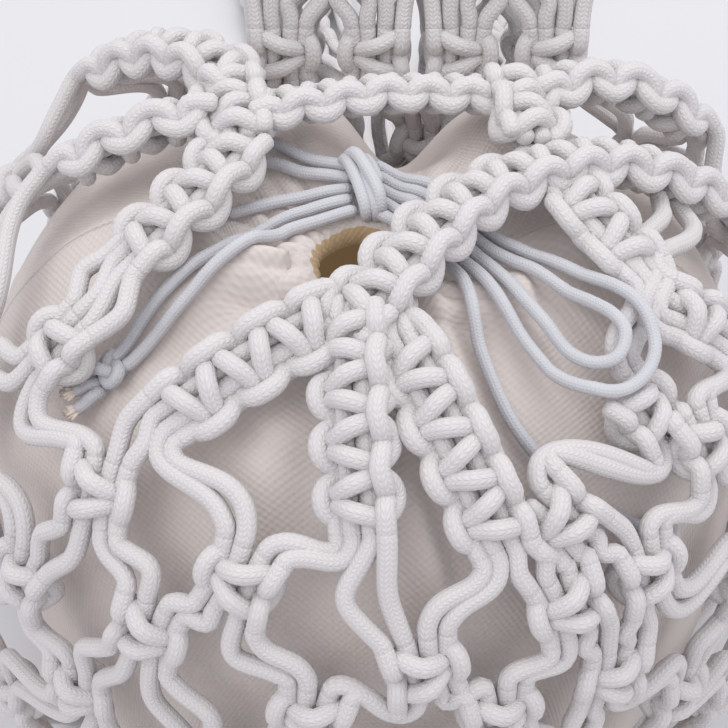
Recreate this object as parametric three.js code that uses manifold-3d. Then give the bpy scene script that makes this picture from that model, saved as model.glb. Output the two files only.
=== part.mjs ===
// Mesh crossbody bag: a canvas drawstring pouch carried in a hand-knotted net of round cord.
// Millimetres, +Z up. The origin is the centre of the base, on the surface the bag stands on.
// The front is towards -Y. An azimuth of 0 points to the front and grows towards +X.
import * as THREE from "three";
import { mergeVertices } from "three/addons/utils/BufferGeometryUtils.js";
import Module from "manifold-3d";

const wasm = await Module();
wasm.setup();

// Cords and cloth
const CORD = 5;
const DRAWCORD = 3.4;
const CANVAS = 1.5;
const LINING = 0.8;
const CLEARANCE = 0.4;
const SEAT = 0.3;

// Net: the centre line of its cords, as a rounded drum that is drawn in at the back
const NET_RADIUS = 121;
const NET_TOP = 190;
const BELLY_HEIGHT = 84;
const SHOULDER_POWER = 2.5;
const SIDE_POWER = 3;
const SIDE_DEPTH = 112;
const BACK_DENT = 0.3;
const BACK_DENT_AZIMUTH = 172;
const BACK_DENT_SPREAD = 32;
const NET_STANDOFF = 12;
const MAT_RADIUS = 100;
const MAT_THICKNESS = 6;
const MAT_LOBES = 22;

// Square-knot bands and single knots
const KNOT_PITCH = 13.4;
const SENNIT_WIDTH = 21.6;
const SENNIT_THICKNESS = 12.4;
const SENNIT_START_WIDTH = 10.4;
const SENNIT_TAPER = 18;
const LOOP_BULGE = 2.4;
const HUB_RADIUS = 9;
const NET_KNOT = { width: 20, height: 17, thickness: 12 };
const LEG_RADIUS = 3.5;
const LEG_SLACK = 5;

// Pouch mouth, set forward of the middle
const MOUTH_X = -4;
const MOUTH_Y = -25;
const MOUTH_RADIUS = 16.5;
const MOUTH_SHIFT_END = 60;
const HEM_WIDTH = 5.6;
const HEM_HEIGHT = 8;
const HEM_FOLDS = 9;

// Strap
const STRAP_WIDTH = 40;
const STRAP_THICKNESS = 12;
const STRAP_LEFT_X = -10;
const STRAP_RIGHT_X = 41;
const STRAP_ROW = 26;
const STRAP_HINGE_Y = 86;
const STRAP_HINGE_Z = 210;
const STRAP_HANG_Y = 115;
const STRAP_RISE = 65;
const STRAP_LOOP_REACH = 385;

const bag = new THREE.Group();
const CORD_COLOUR = 0xe1dede;
const CANVAS_COLOUR = 0xd7cdc6;
const LINING_COLOUR = 0xaa9169;
const DRAWCORD_COLOUR = 0xcdced8;

function addPiece(name, geometry, colour) {
  const material = new THREE.MeshStandardMaterial({ color: colour, roughness: 0.9, metalness: 0 });
  const mesh = new THREE.Mesh(geometry, material);
  mesh.name = name;
  bag.add(mesh);
}

const radians = THREE.MathUtils.degToRad;
const smooth = THREE.MathUtils.smoothstep;

// Share of the round outline that is left at an azimuth, less at the back where the bag is drawn in
function outlineShare(azimuth) {
  const turn = ((azimuth - BACK_DENT_AZIMUTH + 540) % 360) - 180;
  return 1 - BACK_DENT * Math.exp(-((turn / BACK_DENT_SPREAD) ** 2));
}

// Height of the shoulder over a plain radius, for a surface that lies a depth inside the net
function shoulderHeight(radius, depth) {
  const rise = NET_TOP - BELLY_HEIGHT - depth;
  const share = Math.min(radius / (NET_RADIUS - depth), 1);
  return BELLY_HEIGHT + rise * (1 - share ** SHOULDER_POWER) ** (1 / SHOULDER_POWER);
}

// Plain radius at a height, for a surface that lies a depth inside the net
function sideRadius(height, depth) {
  const widest = NET_RADIUS - depth;
  if (height > BELLY_HEIGHT) {
    const share = (height - BELLY_HEIGHT) / (NET_TOP - BELLY_HEIGHT - depth);
    return widest * (1 - share ** SHOULDER_POWER) ** (1 / SHOULDER_POWER);
  }
  const share = (BELLY_HEIGHT - height) / SIDE_DEPTH;
  return widest * (1 - share ** SIDE_POWER) ** (1 / SIDE_POWER);
}

function azimuthOf(x, y) {
  return THREE.MathUtils.radToDeg(Math.atan2(x, -y));
}

function polar(azimuth, radius, height) {
  const turn = radians(azimuth);
  return new THREE.Vector3(radius * Math.sin(turn), -radius * Math.cos(turn), height);
}

// Outward direction of the net's surface at a point, from the slopes of its rounded profile
function outward(point) {
  const radius = Math.hypot(point.x, point.y) / outlineShare(azimuthOf(point.x, point.y));
  const rising = point.z > BELLY_HEIGHT;
  const power = rising ? SHOULDER_POWER : SIDE_POWER;
  const span = rising ? NET_TOP - BELLY_HEIGHT : SIDE_DEPTH;
  const flat = (radius / NET_RADIUS) ** (power - 1) / NET_RADIUS;
  const level = Math.abs(point.z - BELLY_HEIGHT) / span;
  const steep = (Math.sign(point.z - BELLY_HEIGHT) * level ** (power - 1)) / span;
  const side = new THREE.Vector3(point.x, point.y, 0).normalize().multiplyScalar(flat);
  return side.add(new THREE.Vector3(0, 0, steep)).normalize();
}

// A point of the net's shoulder over a place in plan, with the lift of a stiff band that stands off it
function onShoulder([x, y, lift = 0]) {
  const radius = Math.hypot(x, y) / outlineShare(azimuthOf(x, y));
  return new THREE.Vector3(x, y, shoulderHeight(radius, 0) + lift);
}

// A point of the net at an azimuth and a height
function onNet([azimuth, height]) {
  return polar(azimuth, sideRadius(height, 0) * outlineShare(azimuth), height);
}

// A point of the pouch over a plan radius round its mouth, whose rings drift forward to the mouth
function onPouchTop(azimuth, radius, depth) {
  const drift = 1 - smooth(radius, MOUTH_RADIUS, MOUTH_SHIFT_END);
  const dent = smooth(radius, MOUTH_RADIUS, MOUTH_SHIFT_END);
  const share = THREE.MathUtils.lerp(1, outlineShare(azimuth), dent);
  const point = polar(azimuth, radius * share, shoulderHeight(radius, depth));
  return point.add(new THREE.Vector3(MOUTH_X * drift, MOUTH_Y * drift, 0));
}

// The pouch's point straight below or above a place in plan, found by halving its ring radius
function pouchBelow(x, y) {
  let low = 0;
  let high = NET_RADIUS - NET_STANDOFF;
  for (let pass = 0; pass < 40; pass += 1) {
    const middle = (low + high) / 2;
    const drift = 1 - smooth(middle, MOUTH_RADIUS, MOUTH_SHIFT_END);
    const dx = x - MOUTH_X * drift;
    const dy = y - MOUTH_Y * drift;
    const dent = smooth(middle, MOUTH_RADIUS, MOUTH_SHIFT_END);
    const share = THREE.MathUtils.lerp(1, outlineShare(azimuthOf(dx, dy)), dent);
    if (Math.hypot(dx, dy) > middle * share) {
      low = middle;
    } else {
      high = middle;
    }
  }
  return new THREE.Vector3(x, y, shoulderHeight(low, NET_STANDOFF));
}

// A closed body from triangles, turned so that its faces point out
function closedBody(positions, triangles) {
  let volume = 0;
  const [a, b, c] = [new THREE.Vector3(), new THREE.Vector3(), new THREE.Vector3()];
  for (let i = 0; i < triangles.length; i += 3) {
    a.fromArray(positions, triangles[i] * 3);
    b.fromArray(positions, triangles[i + 1] * 3);
    c.fromArray(positions, triangles[i + 2] * 3);
    volume += a.dot(b.cross(c));
  }
  const index = volume < 0 ? triangles.slice().reverse() : triangles;
  const geometry = new THREE.BufferGeometry();
  geometry.setAttribute("position", new THREE.Float32BufferAttribute(positions, 3));
  geometry.setIndex(index);
  return geometry;
}

// A skin over rings of equal count: open ends are capped, and a closed loop joins its last ring to its first
function skin(rings, loop) {
  const count = rings[0].length;
  const positions = rings.flat().flatMap((point) => point.toArray());
  const triangles = [];
  const spans = loop ? rings.length : rings.length - 1;
  for (let i = 0; i < spans; i += 1) {
    const next = (i + 1) % rings.length;
    for (let j = 0; j < count; j += 1) {
      const k = (j + 1) % count;
      const [p, q, r, s] = [i * count + j, i * count + k, next * count + k, next * count + j];
      triangles.push(p, q, r, p, r, s);
    }
  }
  if (!loop) {
    const last = (rings.length - 1) * count;
    for (let j = 1; j < count - 1; j += 1) {
      triangles.push(0, j + 1, j, last, last + j, last + j + 1);
    }
  }
  return closedBody(positions, triangles);
}

function toSolid(geometry) {
  const plain = geometry.clone();
  plain.deleteAttribute("normal");
  plain.deleteAttribute("uv");
  const merged = mergeVertices(plain, 1e-4);
  const vertProperties = new Float32Array(merged.attributes.position.array);
  const triVerts = new Uint32Array(merged.index.array);
  return new wasm.Manifold(new wasm.Mesh({ numProp: 3, vertProperties, triVerts }));
}

function toGeometry(solid) {
  const mesh = solid.getMesh();
  const geometry = new THREE.BufferGeometry();
  geometry.setAttribute("position", new THREE.Float32BufferAttribute(mesh.vertProperties, 3));
  geometry.setIndex(Array.from(mesh.triVerts));
  return geometry;
}

// A piece tied into its neighbours: it runs into them and is cut back to the seat's gap, and offcuts are dropped
function seated(geometry, grownNeighbours) {
  const cut = grownNeighbours.reduce((left, grown) => left.subtract(grown), toSolid(geometry));
  const largest = cut.decompose().sort((a, b) => b.volume() - a.volume())[0];
  return toGeometry(largest);
}

function polygon(radius, sides) {
  const corners = Array.from({ length: sides }, (_, i) => {
    const turn = (i / sides) * 2 * Math.PI;
    return new THREE.Vector2(radius * Math.cos(turn), radius * Math.sin(turn));
  });
  return new THREE.Shape(corners);
}

function tube(points, radius, sides, step) {
  const path = new THREE.CatmullRomCurve3(points, false, "centripetal");
  const steps = Math.max(2, Math.round(path.getLength() / step));
  return new THREE.ExtrudeGeometry(polygon(radius, sides), { steps, bevelEnabled: false, extrudePath: path });
}

// A lump that lies on the net's surface: width across, height down the bag, thickness outwards
function lump(centre, size, detail, grow = 0, up = outward(centre)) {
  const across = new THREE.Vector3(0, 0, 1).cross(up).normalize();
  const down = up.clone().cross(across);
  const frame = new THREE.Matrix4().makeBasis(across, down, up).setPosition(centre);
  const geometry = new THREE.OctahedronGeometry(1, detail);
  geometry.scale(size.width / 2 + grow, size.height / 2 + grow, size.thickness / 2 + grow);
  geometry.applyMatrix4(frame);
  return geometry;
}

// A band of square knots along a path: its loops bulge left and right in turn, and each half knot is a ridge
const RINGS_PER_KNOT = 4;
function knottedBand(points, outwardAt, grow = 0) {
  const path = new THREE.CatmullRomCurve3(points, false, "centripetal");
  const knots = Math.max(1, Math.round((path.getLength() / KNOT_PITCH) * 2) / 2);
  const count = Math.round(knots * RINGS_PER_KNOT);
  const rings = [];
  for (let i = 0; i <= count; i += 1) {
    const share = i / count;
    const centre = path.getPointAt(share);
    const along = path.getTangentAt(share);
    const side = along.clone().cross(outwardAt(centre)).normalize();
    const up = side.clone().cross(along);
    const run = share * path.getLength();
    const wide = THREE.MathUtils.lerp(SENNIT_START_WIDTH, SENNIT_WIDTH, Math.min(run / SENNIT_TAPER, 1));
    const taper = wide / 2 + grow;
    centre.addScaledVector(along, i === 0 ? -grow : 0).addScaledVector(along, i === count ? grow : 0);
    const beat = Math.PI * knots * share;
    const right = taper - LOOP_BULGE * (1 - Math.abs(Math.sin(beat)));
    const left = taper - LOOP_BULGE * (1 - Math.abs(Math.cos(beat)));
    const thick = (SENNIT_THICKNESS / 2) * (0.93 + 0.07 * Math.cos(4 * beat)) + grow;
    const section = [[right, 0], [right * 0.55, thick], [-left * 0.55, thick],
      [-left, 0], [-left * 0.55, -thick], [right * 0.55, -thick]];
    rings.push(section.map(([x, z]) => centre.clone().addScaledVector(side, x).addScaledVector(up, z)));
  }
  return skin(rings, false);
}

// Pouch: base, two panels, lining and the gathered hem round its mouth
const POUCH_FLOOR = MAT_THICKNESS + CLEARANCE;
const PANEL_FLOOR = POUCH_FLOOR + CANVAS + CLEARANCE;
const BELLY_SHARE = 0.4;
const PROFILE_STEPS = 12;
const PANEL_STEPS = 12;

// A point of a pouch layer: share 0 is its lower edge, BELLY_SHARE the belly and 1 the edge of the mouth
function pouchLayer(azimuth, share, depth, floor) {
  if (share <= BELLY_SHARE) {
    const height = THREE.MathUtils.lerp(floor, BELLY_HEIGHT, share / BELLY_SHARE);
    return polar(azimuth, sideRadius(height, depth) * outlineShare(azimuth), height);
  }
  const widest = NET_RADIUS - depth;
  const last = Math.acos((MOUTH_RADIUS / widest) ** (SHOULDER_POWER / 2));
  const turn = ((share - BELLY_SHARE) / (1 - BELLY_SHARE)) * last;
  return onPouchTop(azimuth, widest * Math.cos(turn) ** (2 / SHOULDER_POWER), depth);
}

// A curved wall between two azimuths, as strips of four corners: outer and inner, left and right
function pouchWall(from, to, depth, thickness, floor) {
  const rings = [];
  for (let i = 0; i <= PANEL_STEPS; i += 1) {
    const azimuth = THREE.MathUtils.lerp(from, to, i / PANEL_STEPS);
    const ring = [];
    for (let j = 0; j <= PROFILE_STEPS; j += 1) {
      ring.push(pouchLayer(azimuth, j / PROFILE_STEPS, depth, floor));
    }
    for (let j = PROFILE_STEPS; j >= 0; j -= 1) {
      ring.push(pouchLayer(azimuth, j / PROFILE_STEPS, depth + thickness, floor));
    }
    rings.push(ring);
  }
  return rings;
}

// A wall's end is a long curved strip, so its cap runs as quads between the outer and the inner line
function wallSkin(rings, loop) {
  if (loop) {
    return skin(rings, true);
  }
  const open = skin(rings, true);
  const count = rings[0].length;
  const last = (rings.length - 1) * count;
  const sides = rings.length * count * 6;
  const kept = Array.from(open.index.array).slice(0, sides);
  const joined = kept.filter((_, i) => {
    const corner = Math.floor(i / 3) * 3;
    const near = [kept[corner], kept[corner + 1], kept[corner + 2]];
    return !(near.some((v) => v < count) && near.some((v) => v >= last));
  });
  const turned = kept[0] !== 0;
  for (let j = 0; j < count / 2 - 1; j += 1) {
    const far = count - 1 - j;
    const near = [j, j + 1, far - 1, j, far - 1, far];
    const start = turned ? near : near.slice().reverse();
    const end = start.slice().reverse().map((v) => v + last);
    joined.push(...start, ...end);
  }
  return closedBody(Array.from(open.attributes.position.array), joined);
}

const seamGap = THREE.MathUtils.radToDeg(CLEARANCE / (2 * MOUTH_RADIUS));
const panels = [["pouch_front_panel", -90], ["pouch_back_panel", 90]];
for (const [name, from] of panels) {
  const rings = pouchWall(from + seamGap, from + 180 - seamGap, NET_STANDOFF, CANVAS, PANEL_FLOOR);
  addPiece(name, wallSkin(rings, false), CANVAS_COLOUR);
}
const liningDepth = NET_STANDOFF + CANVAS + CLEARANCE;
const linings = [["pouch_lining_front", -90], ["pouch_lining_back", 90]];
for (const [name, from] of linings) {
  const rings = pouchWall(from + seamGap, from + 180 - seamGap, liningDepth, LINING, PANEL_FLOOR);
  addPiece(name, wallSkin(rings, false), LINING_COLOUR);
}

// A flat round sheet that follows the bag's drawn-in outline
function sheet(radiusAt, floor, thickness, sides) {
  const corners = Array.from({ length: sides }, (_, i) => {
    const azimuth = (i / sides) * 360;
    return polar(azimuth, radiusAt(azimuth) * outlineShare(azimuth), 0);
  });
  const shape = new THREE.Shape(corners.map((p) => new THREE.Vector2(p.x, p.y)));
  const geometry = new THREE.ExtrudeGeometry(shape, { depth: thickness, bevelEnabled: false });
  return geometry.translate(0, 0, floor);
}
const baseRadius = sideRadius(PANEL_FLOOR, NET_STANDOFF) - CLEARANCE;
addPiece("pouch_base", sheet(() => baseRadius, POUCH_FLOOR, CANVAS, 36), CANVAS_COLOUR);

const HEM_STEPS = 36;
const HEM_TOP = shoulderHeight(MOUTH_RADIUS, NET_STANDOFF) + CLEARANCE;
const hemRings = Array.from({ length: HEM_STEPS }, (_, i) => {
  const turn = (i / HEM_STEPS) * 2 * Math.PI;
  const fold = Math.cos(HEM_FOLDS * turn);
  const outer = MOUTH_RADIUS - CLEARANCE - 0.4 * (1 - fold);
  const inner = MOUTH_RADIUS - CLEARANCE - HEM_WIDTH - 0.7 * fold;
  const middle = (outer + inner) / 2;
  const section = [[outer, -0.3], [outer, -0.75], [middle, -1], [inner, -0.75], [inner, -0.25], [middle, 0]];
  return section.map(([radius, level]) => new THREE.Vector3(
    MOUTH_X + radius * Math.sin(turn), MOUTH_Y - radius * Math.cos(turn), HEM_TOP + level * HEM_HEIGHT));
});
addPiece("pouch_hem", skin(hemRings, true), CANVAS_COLOUR);

// Base mat of the net, on which the bag stands
const matLobe = (azimuth) => MAT_RADIUS - 1.5 * (1 - Math.cos(radians(azimuth * MAT_LOBES)));
addPiece("net_base_mat", sheet(matLobe, 0, MAT_THICKNESS, MAT_LOBES * 4), CORD_COLOUR);
const grownMat = toSolid(sheet((azimuth) => matLobe(azimuth) + SEAT, -1, MAT_THICKNESS + 1 + SEAT, MAT_LOBES * 4));
const tiedTo = [grownMat];

// Hubs, where the rim's bands meet
const hubs = { left_hub_knot: [-31, 18], front_hub_knot: [-3, -51], right_hub_knot: [41, 32] };
for (const [name, place] of Object.entries(hubs)) {
  const size = { width: 2 * HUB_RADIUS, height: 2 * HUB_RADIUS, thickness: SENNIT_THICKNESS };
  addPiece(name, lump(onShoulder(place), size, 2), CORD_COLOUR);
  tiedTo.push(toSolid(lump(onShoulder(place), size, 2, SEAT)));
}

// Bands of square knots, as places in plan along the shoulder, from the hub or rim outwards
const sennits = {
  back_rim_sennit: [[-26, 19.5], [5, 27], [36, 31.3]],
  right_rim_sennit: [[1, -46.5], [16, -25.5], [29, -10.5], [44, 0.5], [60, 9], [75, 13.5], [97, 21]],
  front_centre_sennit: [[-3, -56], [-2, -76], [-0.5, -94]],
  front_left_sennit: [[-8, -52], [-28, -61], [-44, -68]],
  front_right_sennit: [[1.5, -54], [13.5, -62.5], [23.5, -82], [32, -94.5]],
  left_front_sennit: [[-33, 12], [-46.5, -11], [-59, -25]],
  left_sennit: [[-36, 19, 1], [-57, 18.5, 2], [-79, 17]],
  back_left_sennit: [[-34, 24, 1], [-44, 43, 8], [-57, 52, 10], [-74, 58, 11]],
  right_back_sennit: [[46, 34, 1], [62, 42, 7], [76, 45, 10], [92, 48, 12]],
  right_short_sennit: [[53, -1], [61, -13.5], [70, -25]],
};
for (const [name, places] of Object.entries(sennits)) {
  const points = places.map(onShoulder);
  addPiece(name, seated(knottedBand(points, outward), tiedTo), CORD_COLOUR);
  tiedTo.push(toSolid(knottedBand(points, outward, SEAT)));
}

// Strap: a flat band of knot rows, whose edges draw in between the rows
const STRAP_RINGS_PER_ROW = 2;
function strapBand(points, outwardAt, roundStart, roundEnd, grow = 0) {
  const path = new THREE.CatmullRomCurve3(points, false, "centripetal");
  const count = Math.max(4, Math.round((path.getLength() / STRAP_ROW) * STRAP_RINGS_PER_ROW));
  const rings = [];
  const half = STRAP_THICKNESS / 2;
  const ringAt = (share, back, squeeze) => {
    const along = path.getTangentAt(share);
    const centre = path.getPointAt(share).addScaledVector(along, -back);
    const side = along.clone().cross(outwardAt(share)).normalize();
    const up = side.clone().cross(along);
    const row = Math.cos((2 * Math.PI * share * path.getLength()) / STRAP_ROW);
    const wide = STRAP_WIDTH / 2 - 1.5 * (1 - row) + grow;
    const thick = half * squeeze + grow;
    const section = [[wide, 0], [wide * 0.8, thick], [-wide * 0.8, thick],
      [-wide, 0], [-wide * 0.8, -thick], [wide * 0.8, -thick]];
    return section.map(([x, z]) => centre.clone().addScaledVector(side, x).addScaledVector(up, z));
  };
  if (roundStart) {
    rings.push(ringAt(0, half * 0.96, 0.26), ringAt(0, half * 0.7, 0.7));
  }
  for (let i = 0; i <= count; i += 1) {
    rings.push(ringAt(i / count, i === 0 ? grow : 0, 1));
  }
  if (roundEnd) {
    rings.push(ringAt(1, -half * 0.7, 0.7), ringAt(1, -half * 0.96, 0.26));
  }
  return skin(rings, false);
}
const rise = new THREE.Vector2(Math.cos(radians(STRAP_RISE)), Math.sin(radians(STRAP_RISE)));
const rootEnd = STRAP_THICKNESS / 2 + CLEARANCE;
const floorHinge = STRAP_THICKNESS / 2 + CLEARANCE;
const legEnd = floorHinge + STRAP_THICKNESS / 2 + 2 * CLEARANCE;
const ROOT_FOOT = [68, 160];
const rootTop = [STRAP_HINGE_Y - rootEnd * rise.x, STRAP_HINGE_Z - rootEnd * rise.y];
const rootLine = [ROOT_FOOT, [73, 176], [78, 190], rootTop];
const hangLine = [[STRAP_HINGE_Y, STRAP_HINGE_Z], [95, 207], [106, 195], [113, 172], [STRAP_HANG_Y, 140],
  [STRAP_HANG_Y, 100], [STRAP_HANG_Y, 60], [STRAP_HANG_Y, 30], [STRAP_HANG_Y, legEnd]];
const backwards = new THREE.Vector3(0, 1, 0);
const upwards = new THREE.Vector3(0, 0, 1);
for (const [name, x] of [["left", STRAP_LEFT_X], ["right", STRAP_RIGHT_X]]) {
  const place = ([y, z]) => new THREE.Vector3(x, y, z);
  addPiece(`strap_${name}_root`, strapBand(rootLine.map(place), () => backwards, false, false), CORD_COLOUR);
  tiedTo.push(toSolid(strapBand(rootLine.map(place), () => backwards, false, false, SEAT)));
  const turnOver = (share) => (share < 0.2 ? new THREE.Vector3(0, 0.5, 1) : backwards);
  addPiece(`strap_${name}_leg`, strapBand(hangLine.map(place), turnOver, true, false), CORD_COLOUR);
}
const loopMiddle = (STRAP_LEFT_X + STRAP_RIGHT_X) / 2;
const halfLoop = [[STRAP_LEFT_X, STRAP_HANG_Y], [STRAP_LEFT_X, 132], [-13, 195], [-17, 260], [-32, 325], [-24, 365]];
const mirrored = halfLoop.map(([x, y]) => [2 * loopMiddle - x, y]).reverse();
const loopLine = [...halfLoop, [loopMiddle, STRAP_LOOP_REACH], ...mirrored]
  .map(([x, y]) => new THREE.Vector3(x, y, floorHinge));
addPiece("strap_shoulder_loop", strapBand(loopLine, () => upwards, true, true), CORD_COLOUR);

// Where the net hangs: the foot of each band in plan, the chain knot and the two strap roots
const FOOT_STEP = -3;
const FOOT_SPREAD = 4.7;
const CHAIN_KNOT = [54, 151];
function bandFoot(name) {
  const places = sennits[name];
  const end = onShoulder(places[places.length - 1]);
  const along = end.clone().sub(onShoulder(places[places.length - 2])).normalize();
  const side = along.clone().cross(outward(end)).normalize();
  return { centre: end.addScaledVector(along, FOOT_STEP), side, spread: FOOT_SPREAD };
}
function rootFoot(x) {
  const centre = new THREE.Vector3(x, ROOT_FOOT[0] + 1, ROOT_FOOT[1] - FOOT_STEP);
  return { centre, side: new THREE.Vector3(1, 0, 0), spread: 2 * FOOT_SPREAD };
}
const chainFoot = { centre: onNet(CHAIN_KNOT), side: new THREE.Vector3(), spread: 0 };
const feet = [bandFoot("front_left_sennit"), bandFoot("front_centre_sennit"), bandFoot("front_right_sennit"),
  chainFoot, bandFoot("right_rim_sennit"), bandFoot("right_back_sennit"), rootFoot(STRAP_RIGHT_X),
  rootFoot(STRAP_LEFT_X), bandFoot("back_left_sennit"), bandFoot("left_sennit"), bandFoot("left_front_sennit")];
const rows = [
  [[-16, 149], [7, 131], [37, 136], [76, 134], [109, 131], [133, 128], [167, 126], [210, 128], [247, 137],
    [275, 146], [320, 154]],
  [[-27, 129], [-6, 117], [21, 112], [56, 108], [95, 104], [120, 101], [149, 98], [188, 98], [230, 102],
    [261, 110], [303, 131]],
  [[-17, 88], [8, 85], [38, 82], [76, 78], [108, 74], [134, 70], [168, 68], [209, 70], [246, 74],
    [276, 82], [318, 104]],
  [[-30, 50], [-5, 48], [22, 46], [57, 43], [94, 40], [121, 38], [150, 37], [188, 37], [229, 39],
    [261, 43], [292, 48]],
];
const columns = feet.length;

// A pair of slack cords between two places on the net
function leg(from, to, bow) {
  const chord = from.clone().lerp(to, 0.5);
  const middle = onNet([azimuthOf(chord.x, chord.y), chord.z]).multiplyScalar(2).sub(chord);
  const across = to.clone().sub(from).normalize().cross(outward(chord));
  middle.addScaledVector(across, bow);
  const path = new THREE.QuadraticBezierCurve3(from, middle, to);
  return new THREE.ExtrudeGeometry(polygon(LEG_RADIUS, 5), { steps: 2, bevelEnabled: false, extrudePath: path });
}

const wrap = (column) => (column + columns) % columns;
const netKnot = (centre, grow) => lump(centre, NET_KNOT, 1, grow);
function footAt(column, turn) {
  const foot = feet[wrap(column)];
  return foot.centre.clone().addScaledVector(foot.side, turn * foot.spread);
}

// Chain knot below the short band on the right, tied to it by its own pair of cords
const chainCentre = onNet(CHAIN_KNOT);
const chainLeg = leg(chainCentre, bandFoot("right_short_sennit").centre, LEG_SLACK);
const chain = toGeometry(toSolid(netKnot(chainCentre, 0)).add(toSolid(chainLeg)));
addPiece("right_chain_knot", seated(chain, tiedTo), CORD_COLOUR);
tiedTo.push(toSolid(netKnot(chainCentre, SEAT)));

for (let column = 0; column < columns; column += 1) {
  const knots = rows.map((row) => onNet(row[column]));
  const right = rows.map((row) => onNet(row[wrap(column + 1)]));
  const left = rows.map((row) => onNet(row[wrap(column - 1)]));
  const slack = column % 2 === 0 ? LEG_SLACK : -LEG_SLACK;
  const parts = knots.map((centre) => netKnot(centre, 0));
  parts.push(leg(knots[0], footAt(column, -1), slack));
  parts.push(leg(knots[0], footAt(column + 1, 1), -slack));
  parts.push(leg(knots[0], knots[1], slack));
  parts.push(leg(knots[0], right[1], -slack));
  parts.push(leg(knots[1], knots[2], slack));
  parts.push(leg(knots[1], left[2], -slack));
  parts.push(leg(knots[2], knots[3], slack));
  parts.push(leg(knots[2], right[3], -slack));
  const foot = rows[3][column][0];
  for (const turn of [-8, 8]) {
    const edge = MAT_RADIUS * outlineShare(foot + turn) + 1;
    parts.push(leg(knots[3], polar(foot + turn, edge, LEG_RADIUS), 0));
  }
  const solid = parts.map(toSolid).reduce((whole, piece) => whole.add(piece));
  const neighbours = [right[1], left[2], right[3]].map((centre) => toSolid(netKnot(centre, SEAT)));
  addPiece(`net_gore_${column + 1}`, seated(toGeometry(solid), [...tiedTo, ...neighbours]), CORD_COLOUR);
}

// Drawcord: strands, loops and tails lie on the pouch; the bow knot sits behind the mouth
const LIE = DRAWCORD / 2 + 2 * CLEARANCE;
const DRAWCORD_SIDES = 8;
const DRAWCORD_STEP = 9;
function strand(places) {
  const points = places.map(([x, y, lift = 0]) => pouchBelow(x, y).add(new THREE.Vector3(0, 0, LIE + lift)));
  return tube(points, DRAWCORD / 2, DRAWCORD_SIDES, DRAWCORD_STEP);
}
const strands = {
  neck_strand_1: [[-3, 6.4], [-15, 13], [-23, 19]],
  neck_strand_2: [[-3, 2], [-14, 7], [-22, 11.5]],
  left_bow_strand: [[-3, -1.6], [-19, -2.5], [-31, -5]],
  left_tail_1: [[-3, -5.4], [-22, -10], [-38, -21], [-51, -31.5], [-61, -42]],
  left_tail_2: [[-2, -9.4], [-19, -15.5], [-35, -26.5], [-48, -37], [-60, -47]],
  right_bow_strand_1: [[2.5, 7.6], [20, 0], [34, -14.3]],
  right_bow_strand_2: [[3, 3.6], [19, -5], [31.6, -18.4]],
  right_bow_strand_3: [[3, -0.8], [17, -9], [29.2, -22.4]],
  right_bow_strand_4: [[3, -5.2], [15.5, -13.5], [26.8, -26.4]],
  right_loop_outer: [[35.4, -15.4], [46, -22, 2], [55, -28.5, 6], [63, -35, 11], [69, -42, 15], [71, -50, 16],
    [67, -57.5, 14], [59, -61.5, 10], [50, -58.5, 6], [42, -50, 3], [35.5, -40, 1], [28.4, -28]],
  right_loop_inner: [[33, -19.6], [43, -26.5, 1], [51.5, -33.5, 4], [59, -41, 8], [63.5, -48, 12],
    [61.5, -53.5, 12], [55.5, -54, 9], [48.5, -48.5, 5], [41.5, -39.5, 2], [36, -31], [30.8, -24]],
  right_tail: [[2.5, -9.6], [14, -18], [24, -31, 0.2], [29, -50, 0.4], [37, -66], [50, -75], [66, -75]],
  left_cut_end_1: [[-67, -46.5, 0.8], [-73, -46.5, 0.8], [-78.5, -46, 0.6]],
  left_cut_end_2: [[-66, -49, 0.8], [-71, -52.5, 0.8], [-76, -55, 0.6]],
};
const BOW_KNOT = { width: 10.6, height: 22, thickness: 9 };
const bowCentre = pouchBelow(0, -1).add(new THREE.Vector3(0, 0, BOW_KNOT.thickness / 2 + SEAT));
const upright = new THREE.Vector3(0, -0.001, 1);
addPiece("bow_knot", lump(bowCentre, BOW_KNOT, 2, 0, upright), DRAWCORD_COLOUR);
const grownKnots = [toSolid(lump(bowCentre, BOW_KNOT, 2, SEAT, upright))];
const END_KNOT = { width: 12, height: 11.4, thickness: 6.6 };
const endKnots = { left_end_knot: [-63.5, -46], right_end_knot: [71, -72] };
for (const [name, [x, y]] of Object.entries(endKnots)) {
  const seat = pouchBelow(x, y);
  const centre = seat.addScaledVector(outward(seat), END_KNOT.thickness / 2 + SEAT);
  addPiece(name, lump(centre, END_KNOT, 2), DRAWCORD_COLOUR);
  grownKnots.push(toSolid(lump(centre, END_KNOT, 2, SEAT)));
}
for (const [name, places] of Object.entries(strands)) {
  addPiece(name, seated(strand(places), grownKnots), DRAWCORD_COLOUR);
}

export default bag;
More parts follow.
